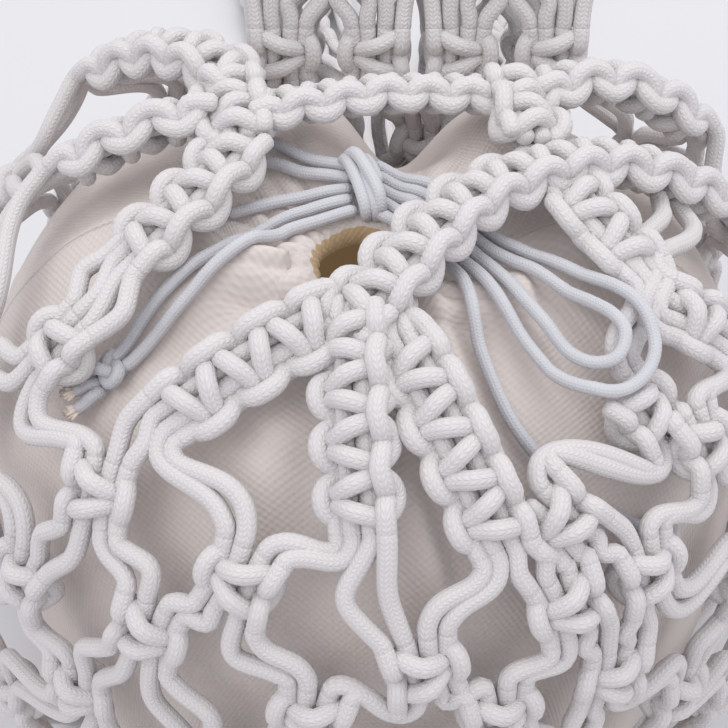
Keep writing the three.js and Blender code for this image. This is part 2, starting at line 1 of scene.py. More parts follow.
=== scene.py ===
import math
import bpy
import numpy as np
from mathutils.bvhtree import BVHTree
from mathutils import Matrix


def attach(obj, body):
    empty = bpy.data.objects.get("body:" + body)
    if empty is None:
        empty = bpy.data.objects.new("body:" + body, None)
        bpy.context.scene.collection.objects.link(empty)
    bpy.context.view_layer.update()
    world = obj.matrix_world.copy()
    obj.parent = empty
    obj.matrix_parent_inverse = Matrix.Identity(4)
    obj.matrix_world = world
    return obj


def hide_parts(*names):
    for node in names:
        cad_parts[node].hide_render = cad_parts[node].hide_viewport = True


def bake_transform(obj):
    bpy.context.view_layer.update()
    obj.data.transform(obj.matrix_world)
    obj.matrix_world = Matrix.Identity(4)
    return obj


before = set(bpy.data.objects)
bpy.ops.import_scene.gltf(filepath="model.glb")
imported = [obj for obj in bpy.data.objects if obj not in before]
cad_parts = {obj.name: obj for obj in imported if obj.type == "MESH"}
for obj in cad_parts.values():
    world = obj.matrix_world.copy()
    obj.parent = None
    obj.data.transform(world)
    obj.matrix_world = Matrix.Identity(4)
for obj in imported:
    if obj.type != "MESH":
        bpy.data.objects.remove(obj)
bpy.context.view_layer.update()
MM = 0.001


# Bands: braids of square knots in soft round cord, round the mouth and down the shoulder of the filled bag.
# They lie on the net's surface, a rounded drum, wider than high, drawn in at the back under the strap.
# Lengths are in millimetres and become metres when a mesh is made.
NET_RADIUS, BELLY, NET_TOP, SIDE_DEPTH = 121.0, 84.0, 190.0, 112.0
SHOULDER_POWER, SIDE_POWER = 2.5, 3.0
BACK_AZIMUTH, BACK_DENT, BACK_WIDTH = 172.0, 0.30, 32.0


def bell(x, width, middle=0.0):
    """One at the middle and falling off to both sides: the exponential of minus a square."""
    return np.exp(-(((x - middle) / width) ** 2))


def outline_share(azimuth):
    """One less a bell curve in azimuth: the share of the round outline left where the back is drawn in."""
    turn = (azimuth - BACK_AZIMUTH + 540.0) % 360.0 - 180.0
    return 1.0 - BACK_DENT * bell(turn, BACK_WIDTH)


def azimuth_of(points):
    """Degrees round the bag from the front: the angle whose tangent is X over minus Y."""
    return np.degrees(np.arctan2(points[..., 0], -points[..., 1]))


def powers(points):
    """The power and the height by which the outline closes in, above the belly or below it."""
    up = points[..., 2] > BELLY
    power = np.where(up, SHOULDER_POWER, SIDE_POWER)
    height = np.where(up, NET_TOP - BELLY, SIDE_DEPTH)
    return power, height


def outward(points):
    """The net's outward direction: the slope, made one long, of the sum of the powers across and up."""
    points = np.asarray(points, float)
    power, height = powers(points)
    share = outline_share(azimuth_of(points))
    radius = np.maximum(np.hypot(points[..., 0], points[..., 1]), 1e-6)
    flat = (radius / (NET_RADIUS * share)) ** (power - 1.0) / (NET_RADIUS * share)
    rise = (points[..., 2] - BELLY) / height
    steep = np.sign(rise) * np.abs(rise) ** (power - 1.0) / height
    vector = np.stack([points[..., 0] / radius * flat, points[..., 1] / radius * flat, steep], -1)
    return vector / np.linalg.norm(vector, axis=-1, keepdims=True)


def shoulder_height(radius, depth=0.0):
    """Height at a radius, at a depth inside the net: the sum of powers solved for its height."""
    share = np.clip(radius / (NET_RADIUS - depth), 0.0, 1.0)
    rise = (1.0 - share ** SHOULDER_POWER) ** (1.0 / SHOULDER_POWER)
    return BELLY + (NET_TOP - BELLY - depth) * rise


def over(x, y, lift=0.0):
    """The net's point above a place in plan, with the lift of a stiff band that stands off it."""
    flat = np.array([x, y, 0.0])
    radius = math.hypot(x, y) / float(outline_share(azimuth_of(flat)))
    return np.array([x, y, float(shoulder_height(radius)) + lift])


# The bands' cord is a tube swept along its own line, with its place along and around for the braid.
TUBE_SIDES = 10


def unit(vectors):
    """Vectors over their own lengths."""
    return vectors / np.maximum(np.linalg.norm(vectors, axis=-1, keepdims=True), 1e-9)


def spline(points, step):
    """A smooth line through points at an even step: cubic pieces whose slopes are set by the neighbours."""
    points = np.asarray(points, float)
    gaps = np.maximum(np.linalg.norm(np.diff(points, axis=0), axis=1) ** 0.5, 1e-4)
    knots = np.concatenate([[0.0], np.cumsum(gaps)])
    rise = np.diff(points, axis=0) / gaps[:, None]
    slope = np.empty_like(points)
    both = (gaps[:-1] + gaps[1:])[:, None]
    slope[1:-1] = (rise[:-1] * gaps[1:, None] + rise[1:] * gaps[:-1, None]) / both
    slope[0], slope[-1] = rise[0], rise[-1]
    pieces = [np.linspace(a, b, 12, endpoint=False) for a, b in zip(knots[:-1], knots[1:])]
    dense = np.append(np.concatenate(pieces), knots[-1])
    i = np.clip(np.searchsorted(knots, dense, side="right") - 1, 0, len(gaps) - 1)
    t = ((dense - knots[i]) / gaps[i])[:, None]
    g = gaps[i][:, None]
    line = ((1 + 2 * t) * (1 - t) ** 2 * points[i] + t * (1 - t) ** 2 * g * slope[i]
            + t * t * (3 - 2 * t) * points[i + 1] + t * t * (t - 1) * g * slope[i + 1])
    return resample(line, step)


def run_along(line):
    """Distance from a line's start to each of its points: the running sum of its steps."""
    return np.concatenate([[0.0], np.cumsum(np.linalg.norm(np.diff(line, axis=0), axis=1))])


def resample(line, step):
    """Points at an even step along a line, each in proportion between the two beside it."""
    run = run_along(line)
    count = max(int(round(run[-1] / step)), 2)
    even = np.linspace(0.0, run[-1], count + 1)
    return np.stack([np.interp(even, run, line[:, k]) for k in range(3)], 1)


def tube(line, radius, sides):
    """Rings carried along a line without twist, narrow at both ends and closed. UV: diameters and turns."""
    end_share, any_way = 0.62, [0.31, 0.17, 0.94]
    along = unit(np.gradient(line, axis=0))
    side = np.empty_like(line)
    first = np.cross(along[0], any_way)
    side[0] = first / np.linalg.norm(first)
    for i in range(1, len(line)):
        moved = side[i - 1] - along[i] * (side[i - 1] @ along[i])
        side[i] = moved / np.linalg.norm(moved)
    other = np.cross(along, side)
    width = np.full(len(line), radius)
    width[0] = width[-1] = end_share * radius
    turn = np.arange(sides) * 2.0 * math.pi / sides
    ring = np.cos(turn)[None, :, None] * side[:, None] + np.sin(turn)[None, :, None] * other[:, None]
    verts = (line[:, None] + width[:, None, None] * ring).reshape(-1, 3)
    i, j = np.meshgrid(np.arange(len(line) - 1), np.arange(sides), indexing="ij")
    k = (j + 1) % sides
    quads = np.stack([i * sides + j, i * sides + k, (i + 1) * sides + k, (i + 1) * sides + j], -1)
    quads = quads.reshape(-1, 4)
    u = run_along(line) / (2.0 * radius)
    corners = ((i, j), (i, j + 1), (i + 1, j + 1), (i + 1, j))
    uv = np.stack([np.stack([u[a], b / sides], -1) for a, b in corners], -2).reshape(-1, 2)
    last = (len(line) - 1) * sides
    caps = np.stack([np.arange(sides)[::-1], last + np.arange(sides)])
    return verts, quads, caps, uv


def mesh_object(name, verts, faces, uv, material, smooth=True):
    """One object from arrays: verts in millimetres, faces as equal-sided arrays, one UV for each corner."""
    mesh = bpy.data.meshes.new(name)
    totals = np.concatenate([np.full(len(f), f.shape[1]) for f in faces])
    corners = np.concatenate([f.ravel() for f in faces])
    mesh.vertices.add(len(verts))
    mesh.vertices.foreach_set("co", (np.asarray(verts) * MM).astype(np.float32).ravel())
    mesh.loops.add(len(corners))
    mesh.loops.foreach_set("vertex_index", corners.astype(np.int32))
    mesh.polygons.add(len(totals))
    starts = np.concatenate([[0], np.cumsum(totals)[:-1]])
    mesh.polygons.foreach_set("loop_start", starts.astype(np.int32))
    mesh.polygons.foreach_set("loop_total", totals.astype(np.int32))
    mesh.polygons.foreach_set("use_smooth", np.full(len(totals), smooth))
    layer = mesh.uv_layers.new(name="along")
    layer.data.foreach_set("uv", np.asarray(uv, np.float32).ravel())
    mesh.update(calc_edges=True)
    mesh.validate()
    obj = bpy.data.objects.new(name, mesh)
    bpy.context.scene.collection.objects.link(obj)
    mesh.materials.append(material)
    return obj


def cords(name, lines, diameter, material, sides=TUBE_SIDES):
    """All the cords of one piece, as tubes in one object; the diameter is one for all or one for each."""
    verts, quads, caps, uvs, cap_uvs, base = [], [], [], [], [], 0
    for line, across in zip(lines, np.broadcast_to(diameter, len(lines))):
        v, q, c, uv = tube(line, across / 2.0, sides)
        verts.append(v)
        quads.append(q + base)
        caps.append(c + base)
        uvs.append(uv)
        cap_uvs.append(np.full((c.size, 2), 0.5))
        base += len(v)
    faces = [np.concatenate(quads), np.concatenate(caps)]
    return mesh_object(name, np.concatenate(verts), faces, np.concatenate(uvs + cap_uvs), material)


# The bands' cord has a braided sheath, drawn by columns of slanting stitches over its UV.
def node_of(tree, kind, **sockets):
    """A new shader node with the values of its sockets."""
    node = tree.nodes.new(kind)
    for name, value in sockets.items():
        node.inputs[name].default_value = value
    return node


def maths(tree, operation, a, b=None):
    """One sum in nodes, of sockets or plain numbers."""
    node = tree.nodes.new("ShaderNodeMath")
    node.operation = operation
    for socket, value in zip(node.inputs, (a, b)):
        if isinstance(value, (int, float)):
            socket.default_value = value
        elif value is not None:
            tree.links.new(value, socket)
    return node.outputs[0]


def pattern_group(name, build):
    """A node group with UV in and Height out, filled by build(tree, u, v)."""
    tree = bpy.data.node_groups.new(name, "ShaderNodeTree")
    tree.interface.new_socket("UV", in_out="INPUT", socket_type="NodeSocketVector")
    tree.interface.new_socket("Height", in_out="OUTPUT", socket_type="NodeSocketFloat")
    start, end = tree.nodes.new("NodeGroupInput"), tree.nodes.new("NodeGroupOutput")
    split = tree.nodes.new("ShaderNodeSeparateXYZ")
    tree.links.new(start.outputs[0], split.inputs[0])
    tree.links.new(build(tree, split.outputs[0], split.outputs[1]), end.inputs[0])
    return tree


BRAID_COLUMNS, STITCHES, STITCH_LEAN = 12.0, 3.8, 0.7


def braid_height(tree, u, v):
    """Columns round the cord, each of slanting stitches, which lean the other way in every second column."""
    column = maths(tree, "MULTIPLY", v, BRAID_COLUMNS)
    across = maths(tree, "SUBTRACT", maths(tree, "FRACT", column), 0.5)
    odd = maths(tree, "MODULO", maths(tree, "FLOOR", column), 2.0)
    way = maths(tree, "SUBTRACT", maths(tree, "MULTIPLY", odd, 2.0), 1.0)
    lean = maths(tree, "MULTIPLY", maths(tree, "MULTIPLY", way, across), STITCH_LEAN)
    phase = maths(tree, "ADD", maths(tree, "MULTIPLY", u, STITCHES), lean)
    stitch = maths(tree, "ABSOLUTE", maths(tree, "COSINE", maths(tree, "MULTIPLY", phase, math.pi)))
    edge = maths(tree, "ABSOLUTE", maths(tree, "MULTIPLY", across, 2.0))
    round_off = maths(tree, "SUBTRACT", 1.0, maths(tree, "POWER", edge, 3.0))
    return maths(tree, "SUBTRACT", maths(tree, "MULTIPLY", stitch, round_off), 0.5)


braid_group = pattern_group("cord_braid", braid_height)


def cloth_material(name, colour, pattern, bump, painted_shade, mottle=0.04):
    """A matte cloth whose pattern raises its surface and whose colour is painted darker in the pattern's
    hollows and lighter on its tops, painted shade and light, with mottled noise of its own tone.
    """
    dark_share, light_share, lightest, middle = 0.55, 1.12, 0.95, 0.78
    material = bpy.data.materials.new(name)
    material.use_nodes = True
    tree = material.node_tree
    shader = tree.nodes["Principled BSDF"]
    shader.inputs["Roughness"].default_value = 0.92
    shader.inputs["Specular IOR Level"].default_value = 0.15
    shader.inputs["Sheen Weight"].default_value = 0.15
    uv = tree.nodes.new("ShaderNodeUVMap")
    uv.uv_map = "along"
    group = tree.nodes.new("ShaderNodeGroup")
    group.node_tree = pattern
    tree.links.new(uv.outputs[0], group.inputs[0])
    place = tree.nodes.new("ShaderNodeTexCoord")
    noise = node_of(tree, "ShaderNodeTexNoise", Scale=160.0, Detail=3.0)
    tree.links.new(place.outputs["Object"], noise.inputs["Vector"])
    # Painted shade and light: the pattern's height darkens the colour in its hollows and lightens its tops;
    # the noise is the cloth's own uneven tone.
    level = maths(tree, "ADD", maths(tree, "MULTIPLY", group.outputs[0], painted_shade),
                  maths(tree, "MULTIPLY", maths(tree, "SUBTRACT", noise.outputs[0], 0.5), 2 * mottle))
    mix = tree.nodes.new("ShaderNodeMix")
    mix.data_type = "RGBA"
    dark = [c * dark_share for c in colour]
    light = [min(c * light_share, lightest) for c in colour]
    mix.inputs["A"].default_value = (*dark, 1)
    mix.inputs["B"].default_value = (*light, 1)
    tree.links.new(maths(tree, "ADD", level, middle), mix.inputs["Factor"])
    tree.links.new(mix.outputs["Result"], shader.inputs["Base Color"])
    raised = node_of(tree, "ShaderNodeBump", Strength=1.0, Distance=bump * MM)
    tree.links.new(group.outputs[0], raised.inputs["Height"])
    tree.links.new(raised.outputs[0], shader.inputs["Normal"])
    return material


# The last number is how much shade is painted into the braid's hollows.
cord_material = cloth_material("cord", (0.635, 0.605, 0.61), braid_group, 0.16, 0.10)


# In the bands' square knots two core cords run straight, one cord crosses only in front and one only behind.
# Places are in cord diameters: across, along from the knot's middle, and outwards.
# Turns between two knots and leads at the ends have only across and outwards.
CORD = 5.0
PITCH = 2.7
FRONT_CROSSINGS = [(-1.12, -0.36, 0.02), (0.0, -0.68, 0.98), (1.12, -1.02, 0.16), (1.46, -0.62, -0.42),
                   (1.56, 0.0, -0.72), (1.46, 0.62, -0.42), (1.12, 1.02, 0.16), (0.0, 0.68, 0.98),
                   (-1.12, 0.36, 0.02)]
BACK_CROSSINGS = [(1.42, -0.6, 0.62), (1.2, -0.22, -0.12), (0.0, -0.62, -0.95), (-1.15, -1.05, -0.3),
                  (-1.68, -0.6, 0.2), (-1.8, 0.0, 0.36), (-1.68, 0.6, 0.2), (-1.15, 1.05, -0.3),
                  (0.0, 0.62, -0.95), (1.2, 0.22, -0.12), (1.42, 0.6, 0.62)]
FRONT_TURN, BACK_TURN = (-1.3, -0.3), (1.38, 0.92)
FRONT_LEAD, BACK_LEAD = (-1.25, 0.0), (1.3, 0.3)
CORES = (-0.47, 0.47)
KNOT_STEP = 1.1


class Band:
    """A line on the bag with its across and outward directions; places on it are across, along and out."""

    def __init__(self, points, out=None, roll=0.0, lift=0.0, side=None):
        """A smooth line; across is square to along and out, and across and up are turned by the roll."""
        line = spline(points, 1.0)
        along = unit(np.gradient(line, axis=0))
        out = outward(line) if out is None else np.broadcast_to(np.asarray(out, float), line.shape)
        side = unit(np.cross(along, out) if side is None else side(line, along))
        up = np.cross(side, along)
        rolls = np.linspace(*roll, len(line)) if isinstance(roll, tuple) else np.full(len(line), roll)
        angle = np.radians(rolls)
        cosine, sine = np.cos(angle)[:, None], np.sin(angle)[:, None]
        self.line = line + lift * up
        self.along, self.side, self.up = along, cosine * side + sine * up, cosine * up - sine * side
        self.length = np.linalg.norm(np.diff(line, axis=0), axis=1).sum()
        self.run = np.linspace(0.0, self.length, len(line))

    def place(self, across, s, out):
        """Points at s along the line, carried straight on past its ends."""
        s = np.asarray(s, float)
        inside = np.clip(s, 0.0, self.length)
        parts = [np.stack([np.interp(inside, self.run, a[:, k]) for k in range(3)], -1)
                 for a in (self.line, self.along, self.side, self.up)]
        return (parts[0] + parts[1] * (s - inside)[..., None] + parts[2] * np.asarray(across)[..., None]
                + parts[3] * np.asarray(out)[..., None])


def knot_rows(knots, pitch, mirror, lead, flat, splay):
    """Places of the four cords through a row of square knots, with leads at both ends that may splay."""
    flip = -1.0 if mirror else 1.0
    start = pitch / 2.0
    unit_step = pitch / PITCH
    first, end = start - (0.5 + lead) * pitch, start + (knots - 0.5 + lead) * pitch
    front = [(FRONT_LEAD[0] * splay, first, FRONT_LEAD[1])]
    back = [(BACK_LEAD[0] * splay, first, BACK_LEAD[1])]
    for k in range(knots):
        middle = start + k * pitch
        front += [(x, middle + s * unit_step, n) for x, s, n in FRONT_CROSSINGS]
        back += [(x, middle + s * unit_step, n) for x, s, n in BACK_CROSSINGS]
        if k < knots - 1:
            front.append((FRONT_TURN[0], middle + 0.5 * pitch, FRONT_TURN[1]))
            back.append((BACK_TURN[0], middle + 0.5 * pitch, BACK_TURN[1]))
    front.append((FRONT_LEAD[0] * splay, end, FRONT_LEAD[1]))
    back.append((BACK_LEAD[0] * splay, end, BACK_LEAD[1]))
    inner = [start - 0.3 * pitch, (first + end) / 2, start + (knots - 0.7) * pitch]
    cores = [[(x * splay, first, 0.0), *[(x, s, 0.0) for s in inner], (x * splay, end, 0.0)] for x in CORES]
    rows = [front, cores[0], cores[1], back]
    return [np.array([(flip * x * CORD, s, n * flat * CORD) for x, s, n in row]) for row in rows]


def knotted(band, knots, mirror, lead=0.25, flat=1.0, splay=1.0):
    """The four cords of a band of square knots along a line, and the ends from which other cords go on."""
    rows = knot_rows(knots, band.length / knots, mirror, lead, flat, splay)
    lines = [spline(band.place(row[:, 0], row[:, 1], row[:, 2]), KNOT_STEP) for row in rows]
    order = [3, 2, 1, 0] if mirror else [0, 1, 2, 3]
    ends = [(lines[k][-1], unit(lines[k][-1] - lines[k][-4])) for k in order]
    starts = [(lines[k][0], unit(lines[k][0] - lines[k][3])) for k in order]
    return lines, starts, ends


# Each band has its places in plan from the hub outwards, its knots, its roll and which side leads.
# The back rim is seen edge-on and is the flattest.
EDGE_ON, FLATTENED = 0.68, 0.9
BANDS = {
    "back_rim_sennit": ([(-28, 20, 2), (5, 27.5, 2), (38, 31.5, 1)], 6, 25.0, False),
    "right_rim_sennit": ([(-2.5, -50.5), (5, -40.5), (16, -25.5), (29, -10.5), (44, 0.5), (60, 9), (75, 13.5),
                          (97, 21)], 10, (6.0, 42.0), False),
    "front_centre_sennit": ([(-3, -50.5), (-2.5, -63), (-2, -77), (-0.5, -94.5)], 4, -20.0, True),
    "front_left_sennit": ([(-9, -50), (-28, -60), (-45, -68.5)], 3, 8.0, False),
    "front_right_sennit": ([(10, -58), (16, -69), (23.5, -82), (32, -94.5)], 4, -4.0, True),
    "left_front_sennit": ([(-32, 8), (-38, -2), (-46.5, -13), (-58, -25)], 3, 0.0, True),
    "left_sennit": ([(-40, 20, 3), (-57, 19, 2), (-79, 17)], 3, -40.0, True),
    "back_left_sennit": ([(-34, 33, 4), (-44, 43, 8), (-57, 52, 10), (-74, 58, 11)], 4, -12.0, True),
    "right_back_sennit": ([(46, 35, 2), (62, 42, 7), (76, 45, 10), (92, 48, 12)], 4, 30.0, False),
    "right_short_sennit": ([(53, -4), (58, -12.5), (69, -24)], 2, 0.0, True),
}
band_ends, band_starts = {}, {}
for name, (plan, knots, roll, mirror) in BANDS.items():
    band = Band([over(*place) for place in plan], roll=roll)
    flat = EDGE_ON if name == "back_rim_sennit" else FLATTENED
    lines, band_starts[name], band_ends[name] = knotted(band, knots, mirror, flat=flat)
    piece = cords(name.replace("sennit", "knots"), lines, CORD, cord_material)
    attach(piece, "bag")
    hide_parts(name)


# Hubs: the places where bands meet, of the same cord. At the back each is a short row of two square knots.
# At the front the rim's own cords run on under the centre band's first knot and into the left band.
HUBS = {"left": ((-36, 33, 3), (-32, 9, 1)), "right": ((40, 36, 3), (44, 11, 1))}
OVERLAP, LINK_STEP = 2.0, 1.4
FRONT_STRETCH, TUCK_STRETCH = 0.5, 0.4
TUCK_PLACE, TUCK_DEPTH, TUCK_WAY = (8, -44), 5.0, (0.4, -0.8, 0.1)
for name, (first, last) in HUBS.items():
    lines = knotted(Band([over(*first), over(*last)], lift=1.0), 2, name == "left", lead=0.1)[0]
    piece = cords(f"{name}_hub_cords", lines, CORD, cord_material)
    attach(piece, "bag")
    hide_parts(f"{name}_hub_knot")


def slack(a, b, stretch, t):
    """A cubic curve from one cord end to another that leaves both along their own directions."""
    (p, tp), (q, tq) = a, b
    gap = np.linalg.norm(q - p)
    p1, q1 = p + tp * gap * stretch, q + tq * gap * stretch
    return (1 - t) ** 3 * p + 3 * t * (1 - t) ** 2 * p1 + 3 * t * t * (1 - t) * q1 + t ** 3 * q


def link(a, b, stretch, aside=0.0):
    """The same curve swung aside in the middle, with both ends run into the cords that it goes on from."""
    t = np.linspace(0.0, 1.0, 24)[:, None]
    curve = slack(a, b, stretch, t) + aside * np.sin(math.pi * t) ** 2
    return resample(np.concatenate([[a[0] - OVERLAP * a[1]], curve, [b[0] - OVERLAP * b[1]]]), LINK_STEP)


left_starts = reversed(band_starts["front_left_sennit"])
front_links = [link(a, b, FRONT_STRETCH) for a, b in zip(band_starts["right_rim_sennit"], left_starts)]
tucked = over(*TUCK_PLACE) - TUCK_DEPTH * outward(over(*TUCK_PLACE))
front_links += [link(start, (tucked + (1.5 * k - 2.0, k, 0.0), unit(np.array(TUCK_WAY))), TUCK_STRETCH)
                for k, start in enumerate(band_starts["front_right_sennit"])]
piece = cords("front_hub_cords", front_links, CORD, cord_material)
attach(piece, "bag")
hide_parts("front_hub_knot")


# Strap: eight lengths of the same cord in alternating square knots, two side by side and then one between.
# It rises from the net's back edge, turns over, hangs behind the bag and lies on the floor in a loop.
STRAP_ROW, STRAP_KNOT_X, STRAP_LEAD = 32.2, 13.6, 9.0
STRAP_MIDDLE, STRAP_REST = 15.5, 6.8
FLOOR_START, FLOOR_TURN = 120.0, 15.0
FOLD_BEHIND, FOLD_BELOW = 110, 70
STRAP_STRETCH, INNER_BOW, EDGE_BOW = 0.45, 2.4, 3.0
FAR_SIDES = 8
HALF_STRAP = [(-10, 68, 160), (-10, 73, 176), (-10, 78, 190), (-10, 83, 203), (-10, 88, 209.5),
              (-10, 96, 207), (-10, 106, 195), (-10, 113, 172), (-10, 115, 140), (-10, 115, 100),
              (-10, 115, 60), (-10, 115.5, 34), (-10, 118, 17), (-10, 126, 8.5), (-10.5, 142, STRAP_REST),
              (-13, 195, STRAP_REST), (-17, 260, STRAP_REST), (-32, 325, STRAP_REST), (-24, 365, STRAP_REST)]
other_half = [(2 * STRAP_MIDDLE - x, y, z) for x, y, z in reversed(HALF_STRAP)]


def strap_side(line, along):
    """Across the strap: level on the floor's loop, and along X on both hanging legs."""
    level = unit(np.cross(along, [0.0, 0.0, 1.0]))
    lying = np.clip((line[:, 1:2] - FLOOR_START) / FLOOR_TURN, 0.0, 1.0)
    return lying * level + (1 - lying) * np.sign(STRAP_MIDDLE - line[:, :1]) * np.array([[1.0, 0.0, 0.0]])


strap = Band(HALF_STRAP + [(STRAP_MIDDLE, 385, STRAP_REST)] + other_half, side=strap_side)
strap_rows = int(strap.length // (2 * STRAP_ROW)) * 2 + 1
strap_step = (strap.length - 2 * STRAP_LEAD) / (strap_rows - 1)


def strap_knot(x, s, mirror):
    """One flattened square knot at a place across and along the strap, with its cords and their ends."""
    half = 0.5 * PITCH * CORD
    points = strap.place(np.full(3, x), np.array([s - half, s, s + half]), np.zeros(3))
    out = strap.place([0.0], [s], [1.0])[0] - strap.place([0.0], [s], [0.0])[0]
    lines, starts, ends = knotted(Band(points, out=out), 1, mirror, lead=0.15, flat=0.78, splay=1.15)
    return {"s": s, "lines": lines, "starts": starts, "ends": ends}


strap_knots = []
for k in range(strap_rows):
    s = STRAP_LEAD + k * strap_step
    places = (0.0,) if k % 2 else (-STRAP_KNOT_X, STRAP_KNOT_X)
    strap_knots.append([strap_knot(x, s, (k + i) % 2 == 0) for i, x in enumerate(places)])
strap_parts = {"left_upper": [], "loop": [], "right_upper": []}
fold = strap.run[(strap.line[:, 1] > FOLD_BEHIND) & (strap.line[:, 2] < FOLD_BELOW)][0]


def strap_part(s):
    """The list of cords at a place along the strap: left leg up to the fold, loop, or right leg after it."""
    if s < fold:
        return strap_parts["left_upper"]
    return strap_parts["right_upper"] if s > strap.length - fold else strap_parts["loop"]


def strap_pair(s, a, b, bow):
    """The two cords of a pair part by the bow in the middle and meet again at the next knot."""
    side = strap.place([1.0], [s], [0.0])[0] - strap.place([0.0], [s], [0.0])[0]
    for end, start, way in zip(a, b, (-1.0, 1.0)):
        strap_part(s).append(link(end, start, STRAP_STRETCH, side * way * bow))


for row in strap_knots:
    for knot in row:
        strap_part(knot["s"]).extend(knot["lines"])
for k in range(strap_rows - 1):
    here, there = strap_knots[k], strap_knots[k + 1]
    s = STRAP_LEAD + (k + 0.5) * strap_step
    if len(here) == 1:
        strap_pair(s, here[0]["ends"][:2], there[0]["starts"][2:], INNER_BOW)
        strap_pair(s, here[0]["ends"][2:], there[1]["starts"][:2], INNER_BOW)
    else:
        strap_pair(s, here[0]["ends"][2:], there[0]["starts"][:2], INNER_BOW)
        strap_pair(s, here[1]["ends"][:2], there[0]["starts"][2:], INNER_BOW)
        if k + 2 < strap_rows:
            beyond = strap_knots[k + 2]
            strap_pair(s + strap_step / 2, here[0]["ends"][:2], beyond[0]["starts"][:2], EDGE_BOW)
            strap_pair(s + strap_step / 2, here[1]["ends"][2:], beyond[1]["starts"][2:], EDGE_BOW)
floor_level = np.array([-np.inf, -np.inf, CORD / 2.0 + 0.1])
for name, lines in strap_parts.items():
    raised = [np.maximum(line, floor_level) for line in lines]
    piece = cords("strap_" + name, raised, CORD, cord_material, sides=FAR_SIDES)
    if name == "loop":
        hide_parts("strap_shoulder_loop")
        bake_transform(piece)
    else:
        side = name.split("_")[0]
        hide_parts(f"strap_{side}_root", f"strap_{side}_leg")
        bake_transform(piece)


# Net: single square knots in four staggered rows below the bands, with slack pairs of the same cord between.
# Every pair runs from a knot, a band or the strap down to the next row's knots, and the last ones to the mat.
# Columns go round the bag from the front left; each row lists azimuth and height.
ROWS = [
    [(-16, 149), (7, 131), (26, 138), (38, 136), (74, 134), (109, 131), (130, 128), (150, 126), (167, 126),
     (187, 126), (213, 128), (246, 137), (288, 143), (321, 154)],
    [(-27, 130), (-6, 117), (16, 113), (31, 111), (55, 108), (92, 104), (120, 101), (140, 99), (158, 98),
     (177, 98), (200, 99), (230, 102), (264, 110), (313, 122)],
    [(-17, 88), (6, 85), (24, 84), (43, 82), (74, 78), (106, 74), (130, 71), (149, 69), (167, 68), (188, 68),
     (215, 70), (247, 74), (288, 84), (323, 95)],
    [(-29, 50), (-5, 48), (15, 46), (33, 45), (58, 43), (90, 40), (118, 38), (140, 37), (158, 37), (177, 37),
     (201, 38), (231, 40), (267, 43), (304, 48)],
]
GORES = (1, 2, 3, 3, 4, 5, 6, 6, 7, 8, 8, 9, 10, 11)
LEFT_GORE, RIGHT_GORE = 11, 4
COLUMNS = len(ROWS[0])
SPREADS, TILTS, BOWS, LEFT_BOW = (2.5, 6.0), (-14, 14), (-5, 5), 11.0
LEG_STRETCH, LEG_STEP = 0.5, 1.3
random = np.random.default_rng(7)


def on_net(points):
    """Each point moved along its ray from the belly's centre until the two rounded powers add up to one."""
    points = np.asarray(points, float)
    power, height = powers(points)
    radius = NET_RADIUS * outline_share(azimuth_of(points))
    across = np.hypot(points[..., 0], points[..., 1]) / radius
    rise = np.abs(points[..., 2] - BELLY) / height
    reach = (across ** power + rise ** power) ** (-1.0 / power)
    centre = np.array([0.0, 0.0, BELLY])
    return centre + (points - centre) * reach[..., None]


def at(azimuth, z):
    """The net's point at an azimuth and a height: the sum of powers solved for its radius."""
    height = NET_TOP - BELLY if z > BELLY else SIDE_DEPTH
    power = SHOULDER_POWER if z > BELLY else SIDE_POWER
    closing = (1.0 - (abs(z - BELLY) / height) ** power) ** (1.0 / power)
    radius = NET_RADIUS * outline_share(azimuth) * closing
    turn = math.radians(azimuth)
    return np.array([radius * math.sin(turn), -radius * math.cos(turn), z])


def net_knot(centre, tilt, mirror, splay=1.25):
    """One square knot on the net: its cords, its two upper pairs and its two lower pairs of ends."""
    out = outward(centre)
    across = unit(np.cross([0.0, 0.0, 1.0], out))
    down = np.cross(across, out)
    down = -down if down[2] > 0 else down
    lean = math.radians(tilt)
    run = math.cos(lean) * down + math.sin(lean) * across
    half = 0.5 * PITCH * CORD
    band = Band([centre - half * run, centre, centre + half * run], out=out)
    lines, starts, ends = knotted(band, 1, mirror, lead=0.2, splay=splay)
    return {"lines": lines, "left_up": starts[2:], "right_up": starts[:2],
            "left_down": ends[2:], "right_down": ends[:2]}


def leg(a, b, bow):
    """A slack cord between two ends: a cubic curve laid on the net, swung aside by bow, its ends straight."""
    toward, swing, full_gap, straight, held_for, rise = 0.3, 0.06, 30.0, 1.8, 5.0, 2.4
    (p, tp), (q, tq) = a, b
    gap = np.linalg.norm(q - p)
    way = (q - p) / gap
    aside = np.cross(way, outward(0.5 * (p + q)))
    start = unit(tp + toward * way + swing * bow * aside)
    end = unit(tq - toward * way + swing * bow * aside)
    t = np.linspace(0.0, 1.0, 48)[:, None]
    sway = aside * bow * min(1.0, gap / full_gap) * 0.5 * np.sin(math.pi * t) ** 2
    curve = slack((p, start), (q, end), LEG_STRETCH, t) + sway
    run = run_along(curve)[:, None]
    ahead = run[-1] - run
    first, last = bell(run, straight), bell(ahead, straight)
    curve = (1 - first) * curve + first * (p + tp * run)
    curve = (1 - last) * curve + last * (q + tq * ahead)
    rises = [(p - on_net(p)) @ outward(p), (q - on_net(q)) @ outward(q)]
    laid = on_net(curve)
    laid = laid + outward(laid) * (rises[0] * (1 - t) ** 2 + rises[1] * t ** 2 + rise * t * (1 - t))
    held = np.clip(bell(run, held_for) + bell(ahead, held_for), 0.0, 1.0)
    curve = held * curve + (1 - held) * laid
    return resample(np.concatenate([[p - OVERLAP * tp], curve, [q - OVERLAP * tq]]), LEG_STEP)


